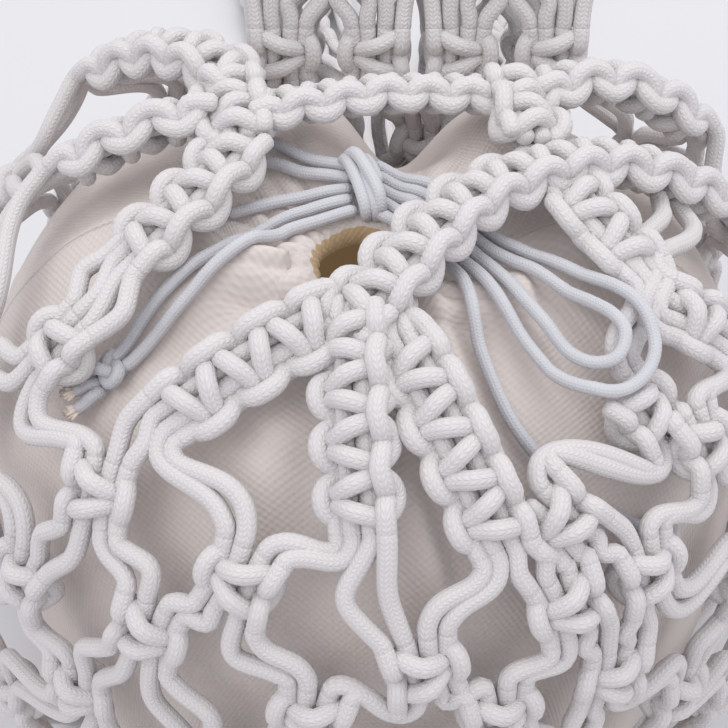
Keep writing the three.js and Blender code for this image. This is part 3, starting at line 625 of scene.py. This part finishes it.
def pair(a_pair, b_pair, bow):
    """Two cords side by side, bowed apart by a random spread."""
    spread = random.uniform(*SPREADS)
    return [leg(a_pair[0], b_pair[0], bow - spread), leg(a_pair[1], b_pair[1], bow + spread)]


def feet_of(ends):
    """The four cords at a band's end as its left and its right pair."""
    return {"left": ends[2:], "right": ends[:2]}


def below(knot):
    """The left and the right pair under a knot of the net."""
    return {"left": knot["left_down"], "right": knot["right_down"]}


# Knots between the bands and the first row, placed one by one; the upper left one lies deeper than the net.
DEEPER = (0.975, 0.975, 0.98)
left_drop = net_knot(at(-60, 168), 0.0, True, 1.1)
upper_right = net_knot(at(68, 166), 20.0, True)
upper_left = net_knot(at(49.5, 164) * DEEPER, 10.0, False)
chain = net_knot(at(54, 151), -10.0, False)
cross_knot = net_knot(at(27.7, 156), 30.0, True)
outer_right, inner_right = (knot["ends"] for knot in strap_knots[-1])
outer_left, inner_left = (knot["starts"] for knot in strap_knots[0])
feet = [feet_of(band_ends["front_left_sennit"]), feet_of(band_ends["front_centre_sennit"]),
        feet_of(band_ends["front_right_sennit"]), below(cross_knot), below(chain),
        feet_of(band_ends["right_rim_sennit"]), feet_of(band_ends["right_back_sennit"]),
        feet_of(outer_right[::-1]), feet_of(inner_right[::-1]), feet_of(inner_left), feet_of(outer_left),
        feet_of(band_ends["back_left_sennit"]), feet_of(band_ends["left_sennit"]), below(left_drop)]
short, turned = feet_of(band_ends["right_short_sennit"]), feet_of(band_ends["left_front_sennit"])
RIM_PLACES, RIM_DEPTH, RIM_WAY = ((86, 10), (80, 8)), 3.0, (0.3, -0.6, -0.4)
rim_side = [(over(x, y) - RIM_DEPTH * outward(over(x, y)), unit(np.array(RIM_WAY))) for x, y in RIM_PLACES]
chain_lines = [line for knot in (chain, upper_right, upper_left, cross_knot) for line in knot["lines"]]
for above, under, bow in ((short["left"], upper_left["right_up"], 0.0),
                          (short["right"], upper_right["left_up"], 4.0),
                          (rim_side, upper_right["right_up"], 3.0),
                          (upper_left["right_down"], chain["left_up"], 5.0),
                          (upper_right["left_down"], chain["right_up"], -9.0),
                          (upper_left["left_down"], cross_knot["right_up"], 2.0)):
    chain_lines += pair(above, under, bow)
piece = cords("right_chain_knot_cords", chain_lines, CORD, cord_material)
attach(piece, "bag")
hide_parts("right_chain_knot")

# The four rows of knots and the pairs between them, gathered by gore.
MAT_RADIUS = 100.0
FOOT_SPREADS, SEAT_OUT, SEAT_HEIGHT, SEAT_RISE = (5.0, 8.5), 1.0, 3.2, 30.0
knots = [[net_knot(at(*place), random.uniform(*TILTS), (row + column) % 2 == 0)
          for column, place in enumerate(places)] for row, places in enumerate(ROWS)]
gores = {gore: [] for gore in GORES}
gores[LEFT_GORE] += left_drop["lines"] + pair(turned["left"], left_drop["left_up"], 2.0)
gores[LEFT_GORE] += pair(turned["right"], left_drop["right_up"], -2.0)
gores[RIGHT_GORE] += pair(upper_right["right_down"], knots[0][4]["right_up"], 3.0)
for column, gore in enumerate(GORES):
    right = (column + 1) % COLUMNS
    own = [knots[row][column] for row in range(4)]
    bows = random.uniform(*BOWS, 8)
    if gore == LEFT_GORE:
        bows[0] = LEFT_BOW
    lines = gores[gore]
    lines += [line for knot in own for line in knot["lines"]]
    ways = ((feet[column]["right"], own[0]["left_up"]), (feet[right]["left"], own[0]["right_up"]),
            (own[0]["left_down"], own[1]["right_up"]), (own[0]["right_down"], knots[1][right]["left_up"]),
            (own[1]["right_down"], own[2]["left_up"]),
            (own[1]["left_down"], knots[2][column - 1]["right_up"]),
            (own[2]["left_down"], own[3]["right_up"]), (own[2]["right_down"], knots[3][right]["left_up"]))
    for (above, under), bow in zip(ways, bows):
        lines += pair(above, under, bow)
    foot = ROWS[3][column][0]
    for ends, turn in ((own[3]["left_down"], -1.0), (own[3]["right_down"], 1.0)):
        for end, spread in zip(ends, FOOT_SPREADS):
            azimuth = foot + turn * spread
            reach = (MAT_RADIUS + SEAT_OUT) * float(outline_share(azimuth))
            angle = math.radians(azimuth)
            seat = np.array([reach * math.sin(angle), -reach * math.cos(angle), SEAT_HEIGHT])
            lines.append(leg(end, (seat, unit(np.array([seat[0], seat[1], SEAT_RISE]))), 0.0))
for gore, lines in gores.items():
    piece = cords(f"net_cords_{gore}", lines, CORD, cord_material)
    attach(piece, "bag")
    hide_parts(f"net_gore_{gore}")


# Base mat: the net's cords run on under the bag in a flat coil, turn against turn, on which it stands.
# It is out of the photograph, so how it is made is a guess.
COIL_START, COIL_HEIGHT, COIL_STEP, COIL_CORD = 2.0, 2.55, 2.2, CORD * 1.02
turns = np.arange(0.0, (MAT_RADIUS - COIL_START) / CORD, 0.02)
angle = 2.0 * math.pi * turns
reach = (COIL_START + CORD * turns) * outline_share(np.degrees(angle))
coil = np.stack([reach * np.sin(angle), -reach * np.cos(angle), np.full_like(angle, COIL_HEIGHT)], 1)
piece = cords("base_mat_coil", [resample(coil, COIL_STEP)], COIL_CORD, cord_material, sides=FAR_SIDES)
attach(piece, "bag")
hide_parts("net_base_mat")


# Pouch: two canvas panels with a tan lining, sewn up the sides and gathered to a mouth behind the front hub.
# The mouth lies forward of the middle, so the rings of the cloth drift forward as they close in on it.
MOUTH = np.array([-0.5, -23.5])
MOUTH_RADIUS, SHIFT_END, STANDOFF, POUCH_FLOOR = 18.0, 60.0, 12.0, 8.3
BELLY_SHARE, FOLD_SHARE = 0.4, 0.6
CANVAS_THICK, LINING_IN, LINING_THICK = 1.2, 1.9, 0.7
SEAM, PANEL_TURN, MOUTH_ARC = 0.05, 179.9, 14.0
WEAVE_PITCH = 1.9
CANVAS_COLOUR, LINING_COLOUR = (0.60, 0.54, 0.515), (0.40, 0.29, 0.18)
LINING_GLOW = (0.36, 0.26, 0.15)


def weave_height(tree, u, v):
    """Product of two sines over millimetres of cloth: the over and under of a plain weave."""
    first = maths(tree, "SINE", maths(tree, "MULTIPLY", u, 2 * math.pi / WEAVE_PITCH))
    second = maths(tree, "SINE", maths(tree, "MULTIPLY", v, 2 * math.pi / WEAVE_PITCH))
    return maths(tree, "MULTIPLY", first, second)


weave_group = pattern_group("canvas_weave", weave_height)
canvas_material = cloth_material("canvas", CANVAS_COLOUR, weave_group, 0.10, 0.06, 0.03)
lining_material = cloth_material("lining", LINING_COLOUR, weave_group, 0.08, 0.06, 0.05)
# A little light is given off in place of light through the cloth.
for material, colour, strength in ((canvas_material, CANVAS_COLOUR, 0.07),
                                   (lining_material, LINING_GLOW, 0.22)):
    shader = material.node_tree.nodes["Principled BSDF"]
    shader.inputs["Emission Color"].default_value = (*colour, 1)
    shader.inputs["Emission Strength"].default_value = strength


def smooth_step(x, low, high):
    """From 0 to 1 between two limits and level at both: three squares less two cubes of the share."""
    t = np.clip((x - low) / (high - low), 0.0, 1.0)
    return t * t * (3 - 2 * t)


def cloth_place(azimuth, share, depth):
    """The pouch's layer at a depth inside the net: share 0 at its foot, 1 at the mouth, the belly between."""
    widest = NET_RADIUS - depth
    low = np.clip(share / BELLY_SHARE, 0.0, 1.0)
    z_low = POUCH_FLOOR + (BELLY - POUCH_FLOOR) * low
    r_low = widest * (1 - ((BELLY - z_low) / SIDE_DEPTH) ** SIDE_POWER) ** (1 / SIDE_POWER)
    last = math.acos((MOUTH_RADIUS / widest) ** (SHOULDER_POWER / 2))
    turn = np.clip((share - BELLY_SHARE) / (1.0 - BELLY_SHARE), 0.0, 1.0) * last
    r_high = widest * np.cos(turn) ** (2 / SHOULDER_POWER)
    upper = share > BELLY_SHARE
    radius = np.where(upper, r_high, r_low)
    z = np.where(upper, shoulder_height(r_high, depth), z_low)
    settled = np.where(upper, smooth_step(radius, MOUTH_RADIUS, SHIFT_END), 1.0)
    reach = radius * (1 - settled + settled * outline_share(azimuth))
    angle = np.radians(azimuth)
    return np.stack([reach * np.sin(angle) + MOUTH[0] * (1 - settled),
                     -reach * np.cos(angle) + MOUTH[1] * (1 - settled), z], -1), radius


def pleats(angle):
    """Twenty-two cusped pleats round the mouth, unevenly wide: the size of a cosine."""
    return np.abs(np.cos(11 * angle + 0.9 * np.sin(3 * angle)))


# Single folds of the cloth in plan: two ends, the height of the bell across and its width on each side.
# Waves round the mouth: count, phase and height.
FOLDS = [((-17, -20), (-53, -34), 4.0, 7.0, 7.0), ((-24, -31), (-52, -46), -3.0, 6.0, 6.0),
         ((-23, -7), (-45, -11), 2.5, 5.0, 5.0), ((-21, -14), (-40, -19), -2.5, 4.0, 4.0),
         ((7, -72), (24, -104), 4.5, 9.0, 2.0), ((-20, -62), (-34, -96), 3.0, 8.0, 8.0),
         ((-13, -70), (-14, -100), -2.0, 6.0, 6.0), ((16, -34), (27, -62), 3.0, 5.0, 2.5),
         ((39, -25), (44, -46), 2.5, 3.5, 2.0), ((52, -6), (84, -30), 2.5, 9.0, 9.0),
         ((58, 10), (90, 18), -2.5, 7.0, 7.0), ((-44, 6), (-84, -4), 2.5, 8.0, 8.0)]
WAVES = ((5, 0.8, 1.8), (8, -1.1, 1.2))
PLEAT_MIDDLE, PLEAT_RISE, SHOULDER_SINK = 0.6, 3.6, 1.2
NEAR_FADE, FAR_FADE = 15.0, 55.0


def fold_height(azimuth, radius, points):
    """Pleats that fade away from the mouth, soft waves, and the single folds as bells across their lines."""
    angle = np.radians(azimuth)
    near = np.exp(-(radius - MOUTH_RADIUS) / NEAR_FADE)
    far = np.exp(-(radius - MOUTH_RADIUS) / FAR_FADE)
    height = (pleats(angle) - PLEAT_MIDDLE) * near * PLEAT_RISE - SHOULDER_SINK * far
    for count, phase, size in WAVES:
        height = height + np.cos(count * angle + phase) * far * size
    for (x0, y0), (x1, y1), rise, width, far_width in FOLDS:
        length = math.hypot(x1 - x0, y1 - y0)
        ux, uy = (x1 - x0) / length, (y1 - y0) / length
        along = ((points[..., 0] - x0) * ux + (points[..., 1] - y0) * uy) / length
        off = (points[..., 0] - x0) * uy - (points[..., 1] - y0) * ux
        across = bell(off, np.where(off > 0, width, far_width))
        height = height + rise * across * smooth_step(along, -0.15, 0.2) * (1 - smooth_step(along, 0.75, 1.2))
    return height


def back_gap(points):
    """How far the cloth sinks between its two flaps behind the mouth, less their own rise on both sides."""
    gap_depth, flap_rise = 18.0, 4.0
    x, y = points[..., 0], points[..., 1]
    gap = gap_depth * bell(x, 12.0, 9.0) * smooth_step(y, 12.0, 30.0)
    flaps = flap_rise * (bell(x, 9.0, -18.0) + bell(x, 10.0, 36.0)) * smooth_step(y, 5.0, 25.0)
    return (gap - flaps) * smooth_step(points[..., 2], 105.0, 160.0)


def cloth_shell(name, start, depth, thickness, material, rows, columns):
    """A closed thin shell between two azimuths: an outer and an inner grid joined round their edges."""
    turns = np.linspace(start, start + PANEL_TURN, columns)
    share, azimuth = np.meshgrid(np.linspace(0, 1, rows), turns, indexing="ij")
    outer_cloth, outer_radius = cloth_place(azimuth, share, STANDOFF)
    out = unit(np.cross(np.gradient(outer_cloth, axis=1), np.gradient(outer_cloth, axis=0)))
    lift = fold_height(azimuth, outer_radius, outer_cloth) * smooth_step(share, BELLY_SHARE, FOLD_SHARE)
    moved = out * lift[..., None] - back_gap(outer_cloth)[..., None] * np.array([0.0, 0.0, 1.0])
    layers = [cloth_place(azimuth, share, depth + extra)[0] + moved for extra in (0.0, thickness)]
    count = rows * columns
    i, j = np.meshgrid(np.arange(rows - 1), np.arange(columns - 1), indexing="ij")
    corner = (i * columns + j).reshape(-1)
    outer = np.stack([corner, corner + 1, corner + columns + 1, corner + columns], 1)
    inner = outer[:, ::-1] + count
    ring = np.concatenate([np.arange(columns), columns * np.arange(1, rows) + columns - 1,
                           count - 2 - np.arange(columns - 1), columns * np.arange(rows - 2, 0, -1)])
    after = np.roll(ring, -1)
    edge = np.stack([after, ring, ring + count, after + count], 1)
    faces = np.concatenate([outer, inner, edge])
    verts = np.concatenate([layer.reshape(-1, 3) for layer in layers])
    height = run_along(layers[0][:, columns // 2])
    rho = (height[-1] - height + MOUTH_ARC)[:, None]
    angle = np.radians(azimuth)
    flat = np.stack([rho * np.sin(angle), -rho * np.cos(angle)], -1).reshape(-1, 2)
    uv = np.concatenate([flat, flat])[faces.ravel()]
    return mesh_object(name, verts, [faces], uv, material)


for name, start in (("front", -90.0 + SEAM), ("back", 90.0 + SEAM)):
    piece = cloth_shell(f"canvas_{name}", start, STANDOFF, CANVAS_THICK, canvas_material, 110, 150)
    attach(piece, "bag")
    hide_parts(f"pouch_{name}_panel")
    piece = cloth_shell(f"lining_{name}", start, STANDOFF + LINING_IN, LINING_THICK, lining_material, 80, 100)
    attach(piece, "bag")
    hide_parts(f"pouch_lining_{name}")


# Hem: the panels' top edge, of the same canvas, turned over into a channel for the drawcord, tan inside.
# The cord gathers it into uneven pleats round the mouth, most of them at its left.
HEM_RADIUS, HEM_HEIGHT = 14.4, 174.2
HEM_STEPS, HEM_SIDES = 180, 24
HEM_HALF_WIDTH, HEM_HALF_HEIGHT, HEM_WAVE = 2.9, 4.4, 0.6
BUNCH_WIDTH, BUNCH_AZIMUTH = 46.0, 272.0
BUNCH_OUT, BUNCH_WIDER, BUNCH_LIFT = 3.0, 3.6, 0.8
PLEAT_OUT, PLEAT_WIDER, PLEAT_HIGHER = 1.2, 0.6, 1.8
around, section = np.meshgrid(np.linspace(0, 2 * math.pi, HEM_STEPS + 1)[:-1],
                              np.linspace(0, 2 * math.pi, HEM_SIDES + 1)[:-1], indexing="ij")
bunched = bell(np.degrees(around), BUNCH_WIDTH, BUNCH_AZIMUTH)
pleat = (pleats(around) - PLEAT_MIDDLE) * (0.2 + 0.8 * bunched)
half_width = HEM_HALF_WIDTH + BUNCH_WIDER * bunched + PLEAT_WIDER * pleat
reach = HEM_RADIUS + BUNCH_OUT * bunched + PLEAT_OUT * pleat + half_width * np.cos(section)
half_height = HEM_HALF_HEIGHT + PLEAT_HIGHER * pleat
height = HEM_HEIGHT + half_height * np.sin(section) + HEM_WAVE * np.cos(4 * around) + BUNCH_LIFT * bunched
verts = np.stack([MOUTH[0] + reach * np.sin(around), MOUTH[1] - reach * np.cos(around), height], -1)
i, j = np.meshgrid(np.arange(HEM_STEPS), np.arange(HEM_SIDES), indexing="ij")
corners = [(i, j), (i + 1, j), (i + 1, j + 1), (i, j + 1)]
faces = np.stack([(a % HEM_STEPS) * HEM_SIDES + b % HEM_SIDES for a, b in corners], -1).reshape(-1, 4)
uv = np.stack([np.stack([a * 0.45, b * 0.9], -1) for a, b in corners], -2).reshape(-1, 2)
hem = mesh_object("hem_gathers", verts.reshape(-1, 3), [faces], uv, canvas_material)
hem.data.materials.append(lining_material)
inside = (np.cos(section) < -0.1) & (np.sin(section) < 0.75)
hem.data.polygons.foreach_set("material_index", inside.reshape(-1).astype(np.int32))
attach(hem, "bag")
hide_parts("pouch_hem")


# Pouch base: one flat piece of canvas, cut to the bag's outline, that the panels are sewn to.
# It lies on the mat, out of the photograph, so its make is a guess.
BASE_RADIUS = 95.0
BASE_TOP, BASE_EDGE, BASE_FOOT = 7.7, 7.2, 6.7
turn = np.radians(np.arange(0.0, 360.0, 3.0))
rim = BASE_RADIUS * outline_share(np.degrees(turn))
rings = [(0.02, BASE_TOP), (0.5, BASE_TOP), (0.98, BASE_TOP), (1.0, BASE_EDGE),
         (0.98, BASE_FOOT), (0.5, BASE_FOOT), (0.02, BASE_FOOT)]
verts = np.stack([np.stack([k * rim * np.sin(turn), -k * rim * np.cos(turn), np.full_like(turn, z)], -1)
                  for k, z in rings]).reshape(-1, 3)
i, j = np.meshgrid(np.arange(len(rings) - 1), np.arange(len(turn)), indexing="ij")
after = (j + 1) % len(turn)
corners = [(i, j), (i + 1, j), (i + 1, after), (i, after)]
faces = np.stack([a * len(turn) + b for a, b in corners], -1).reshape(-1, 4)
caps = np.stack([np.arange(len(turn)), (len(rings) - 1) * len(turn) + np.arange(len(turn))[::-1]])
uv = np.concatenate([verts[faces.ravel(), :2], verts[caps.ravel(), :2]])
base = mesh_object("canvas_base", verts, [faces, caps], uv, canvas_material, smooth=False)
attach(base, "bag")
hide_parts("pouch_base")


# Drawcord: a thin soft braided cord, bound in a bow over the mouth, with strands and tails to the left and
# loops and a tail to the right. The cord in the hem's channel isn't seen and isn't made.
# Routes are in plan; each place keeps half a cord and a little more above the canvas, and some are lifted.
DRAWCORD, CLEARANCE, DRAWCORD_STEP = 3.4, 0.3, 1.2
RAY_START, LOWEST_CLOTH, OVER_MOUTH = 0.25, 0.12, 3.0
CLOTH_REACH, CORD_REACH, BOW_RISE = 3, 5, 9.0
BOW = np.array([0.0, -1.0, 182.1])
drawcord_material = cloth_material("drawcord", (0.57, 0.565, 0.60), braid_group, 0.12, 0.10)
frayed_material = cloth_material("frayed_end", (0.80, 0.70, 0.63), braid_group, 0.02, 0.05)
canvas = [BVHTree.FromPolygons([v.co for v in o.data.vertices], [p.vertices for p in o.data.polygons])
          for o in (bpy.data.objects[name] for name in ("canvas_front", "canvas_back", "hem_gathers"))]


def canvas_top(x, y):
    """Height of the highest panel or hem below a place in plan, or a little over the hem if there is none."""
    hits = [tree.ray_cast((x * MM, y * MM, RAY_START), (0, 0, -1))[0] for tree in canvas]
    heights = [hit.z / MM for hit in hits if hit is not None and hit.z > LOWEST_CLOTH]
    return max(heights, default=HEM_HEIGHT + OVER_MOUTH)


def evened(values, reach):
    """The highest of the values within reach of each, and then the mean of those within reach."""
    count = len(values)
    high = np.array([values[max(i - reach, 0):i + reach + 1].max() for i in range(count)])
    return np.array([high[max(i - reach, 0):i + reach + 1].mean() for i in range(count)])


def lying(route):
    """A route in plan laid on the canvas: the highest cloth near by along it, evened out, plus the lift."""
    plan = spline([(p[0], p[1], p[2] if len(p) > 2 else 0.0) for p in route], 1.0)
    cloth = np.array([canvas_top(x, y) for x, y in plan[:, :2]])
    height = np.maximum(evened(cloth, CLOTH_REACH), cloth) + DRAWCORD / 2 + CLEARANCE + plan[:, 2]
    return np.stack([plan[:, 0], plan[:, 1], height], 1)


def from_bow(route, at_end):
    """A laid route whose first places rise into the bow knot, and its last ones too where it comes back."""
    line = lying(route)
    run = run_along(line)
    near = bell(run, BOW_RISE)
    if at_end:
        near = np.maximum(near, bell(run[-1] - run, BOW_RISE))
    line[:, 2] += near * (np.maximum(BOW[2], line[:, 2]) - line[:, 2])
    return resample(line, DRAWCORD_STEP)


def over_cords(path, lines):
    """A path raised where net cords lie below it: the most that is needed near by along it, evened out."""
    below_it = np.concatenate(lines)
    apart = np.linalg.norm(path[:, None, :2] - below_it[None, :, :2], axis=2)
    gap = (CORD + DRAWCORD) / 2 + CLEARANCE
    top = below_it[None, :, 2] + np.sqrt(np.maximum(gap ** 2 - apart ** 2, 0.0))
    need = np.where(apart < gap, top - path[:, None, 2], 0.0).max(axis=1).clip(0.0)
    return path + np.maximum(evened(need, CORD_REACH), need)[:, None] * np.array([0.0, 0.0, 1.0])


ROUTES = {
    "neck_strand_1": ([(-3, 6.4), (-15, 13), (-23, 19), (-29.5, 23.4)], "object"),
    "neck_strand_2": ([(-3, 2), (-14, 7), (-22, 11.5), (-31, 15.6)], "object"),
    "left_bow_strand": ([(-3, -1.6), (-19, -2.5), (-31, -5), (-35.5, -6.8)], "object"),
    "left_tail_1": ([(-3, -5.4), (-22, -10), (-38, -21), (-51, -31.5), (-61, -42),
                     (-63, -44.5, 1.5)], "knot"),
    "left_tail_2": ([(-2, -9.4), (-19, -15.5), (-35, -26.5), (-48, -37), (-60, -47)], "knot"),
    "right_tail": ([(2.5, -9.6), (14, -18), (24, -31, 0.2), (29, -50, 0.4), (37, -66), (50, -75), (66, -75),
                    (69.5, -74.8)], "knot"),
    "right_loop_outer": ([(2.5, 7.6), (20, 0), (34, -14.3), (46, -22, 2), (55, -28.5, 6), (63, -35, 11),
                          (69, -42, 15), (71, -50, 16), (67, -57.5, 14), (59, -61.5, 10), (50, -58.5, 6),
                          (42, -50, 3), (35.5, -40, 1), (27.6, -27.2), (15.5, -13.5), (3, -5.2)], "object"),
    "right_loop_inner": ([(3, 3.6), (19, -5), (31.6, -18.4), (43, -26.5, 1), (51.5, -33.5, 4), (59, -41, 8),
                          (63.5, -48, 12), (61.5, -53.5, 12), (55.5, -54, 9), (48.5, -48.5, 5),
                          (41.5, -39.5, 2), (36, -31), (30, -23.2), (17, -9), (3, -0.8)], "object"),
}
MORE_NODES = {"right_loop_outer": ("right_bow_strand_1", "right_bow_strand_4"),
              "right_loop_inner": ("right_bow_strand_2", "right_bow_strand_3")}
CUT_ENDS = {"left_cut_end_1": [(-65.5, -47, 1.2), (-69.5, -48.5, 2.8), (-73.2, -50.5, 4.4)],
            "left_cut_end_2": [(-65, -49, 0.8), (-69, -52, 2.0), (-72.4, -54.4, 3.4)]}
LEFT_KNOT = (-63.5, -46.0, canvas_top(-63.5, -46.0) + 5.0)
RIGHT_KNOT = (73.7, -75.1, 132.5)
KNOT_SCALE, KNOT_DEPTH = 1.35, 1.6
WRAP_TURNS, WRAP_HALF, WRAP_SLANT, WRAP_REACH, WRAP_RISE = 4.6, 3.0, 2.4, 9.6, 4.4
STRANDS, STRAND, SEED_TURN = 19, 1.1, 2.4


def trefoil(centre, turned):
    """An overhand knot drawn tight: the three-lobed closed curve of sines of one, two and three turns."""
    t = np.linspace(0.0, 2 * math.pi, 90)
    flat = np.stack([np.sin(t) + 2 * np.sin(2 * t), np.cos(t) - 2 * np.cos(2 * t)], 1) * KNOT_SCALE
    c, s = math.cos(turned), math.sin(turned)
    return np.stack([centre[0] + c * flat[:, 0] - s * flat[:, 1], centre[1] + s * flat[:, 0] + c * flat[:, 1],
                     centre[2] - KNOT_DEPTH * np.sin(3 * t)], 1)


turn = np.linspace(-0.3, WRAP_TURNS * math.pi, 140)
wraps = np.stack([BOW[0] - WRAP_HALF + 2 * WRAP_HALF * turn / turn[-1] - WRAP_SLANT * np.cos(turn),
                  BOW[1] + WRAP_REACH * np.cos(turn), BOW[2] + WRAP_RISE * np.sin(turn)], 1)
tuck = spline([(-4.6, 8.8, 183.0), (-2.6, 6.5, 187.4), (0.8, -1.0, 188.6), (3.8, -8.0, 186.6),
               (4.4, -11.0, 182.5)], DRAWCORD_STEP)
bow_lines = [resample(wraps, DRAWCORD_STEP), tuck]
bow_knot = cords("bow_knot_wraps", bow_lines, DRAWCORD, drawcord_material)
left_knot = cords("left_end_knot_cord", [trefoil(LEFT_KNOT, 0.4)], DRAWCORD, drawcord_material)
right_knot = cords("right_end_knot_cord", [trefoil(RIGHT_KNOT, 1.3)], DRAWCORD, drawcord_material)


def frayed_tip(line):
    """The strands at a cut end: set out like seeds in a flower head and fanned out from its line."""
    tip = line[-1]
    way = unit(tip - line[-4])
    side = unit(np.cross(way, [0.0, 0.0, 1.0]))
    other = np.cross(side, way)
    seed = np.arange(STRANDS)
    spread = np.sqrt((seed + 0.5) / STRANDS)[:, None]
    fan = spread * (np.cos(SEED_TURN * seed)[:, None] * side + np.sin(SEED_TURN * seed)[:, None] * other)
    long = (1.9 + 0.7 * np.sin(5.0 * seed))[:, None]
    return np.stack([tip - 0.8 * way + 1.1 * fan, tip + 0.6 * way + 1.6 * fan,
                     tip + long * way + 2.3 * fan], 1)


cut_ends = []
for name, route in CUT_ENDS.items():
    line = lying(route)
    lines = [line, *frayed_tip(line)]
    piece = cords(name + "_cord", lines, [DRAWCORD] + [STRAND] * STRANDS, drawcord_material)
    piece.data.materials.append(frayed_material)
    index = np.ones(len(piece.data.polygons), np.int32)
    index[:(len(line) - 1) * TUBE_SIDES] = 0
    piece.data.polygons.foreach_set("material_index", index)
    cut_ends.append(piece)
    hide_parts(name)
for piece, node in ((bow_knot, "bow_knot"), (left_knot, "left_end_knot"), (right_knot, "right_end_knot")):
    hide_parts(node)
for piece in (bow_knot, left_knot, right_knot, *cut_ends):
    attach(piece, "bag")
for name, (route, far_end) in ROUTES.items():
    loop = "loop" in name
    path = from_bow(route, loop)
    if loop:
        path = over_cords(path, chain_lines)
    piece = cords(name + "_cord", [path], DRAWCORD, drawcord_material)
    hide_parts(name, *MORE_NODES.get(name, ()))
    if loop:
        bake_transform(piece)
    else:
        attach(piece, "bag")
    ends = {"left_tail_1": [left_knot, *cut_ends], "right_tail": [bow_knot, right_knot]}.get(name, [])


# Light and camera: a pale floor under a pale sky, a key lamp at the front left, a weaker fill lamp at the
# right and a window lamp overhead, a little behind. The camera takes the photograph's close view.
# Lengths are in metres here.
FLOOR_HALF = 9
LAMPS = (("key", (-0.7, -0.5, 1.1), 0.9, 4.8), ("fill", (0.9, -0.3, 0.8), 1.2, 2.5),
         ("window", (0.2, 0.3, 1.1), 0.8, 3.6))


def look_at(obj, target):
    """Turn an object to a target: pitched by the rise over the level distance, turned by minus X over Y."""
    direction = np.asarray(target, float) - np.array(obj.location)
    level = math.hypot(direction[0], direction[1])
    pitch = math.pi / 2 + math.atan2(direction[2], level)
    obj.rotation_euler = (pitch, 0.0, math.atan2(-direction[0], direction[1]))


scene = bpy.context.scene
scene.view_settings.view_transform = "Standard"
camera = bpy.data.objects.new("camera", bpy.data.cameras.new("camera"))
scene.collection.objects.link(camera)
camera.location = (0.0, -0.3626, 0.5156)
camera.data.lens, camera.data.sensor_width = 93.9, 36.0
camera.data.clip_start = 0.01
look_at(camera, (0.0, -0.028, 0.144))
scene.camera = camera

floor_mesh = bpy.data.meshes.new("floor")
floor_corners = [(-FLOOR_HALF, -FLOOR_HALF, 0), (FLOOR_HALF, -FLOOR_HALF, 0), (FLOOR_HALF, FLOOR_HALF, 0),
                 (-FLOOR_HALF, FLOOR_HALF, 0)]
floor_mesh.from_pydata(floor_corners, [], [(0, 1, 2, 3)])
floor = bpy.data.objects.new("floor", floor_mesh)
scene.collection.objects.link(floor)
paint = bpy.data.materials.new("floor")
paint.use_nodes = True
paint_shader = paint.node_tree.nodes["Principled BSDF"]
paint_shader.inputs["Base Color"].default_value = (0.67, 0.665, 0.685, 1)
paint_shader.inputs["Roughness"].default_value = 0.9
floor_mesh.materials.append(paint)

world = bpy.data.worlds.new("world")
scene.world = world
world.use_nodes = True
sky = world.node_tree.nodes["Background"]
sky.inputs["Color"].default_value = (0.93, 0.94, 0.97, 1)
sky.inputs["Strength"].default_value = 0.88
for name, place, size, power in LAMPS:
    lamp = bpy.data.objects.new(name, bpy.data.lights.new(name, "AREA"))
    lamp.data.size, lamp.data.energy = size, power
    lamp.location = place
    scene.collection.objects.link(lamp)
    look_at(lamp, (0.0, 0.0, 0.12))
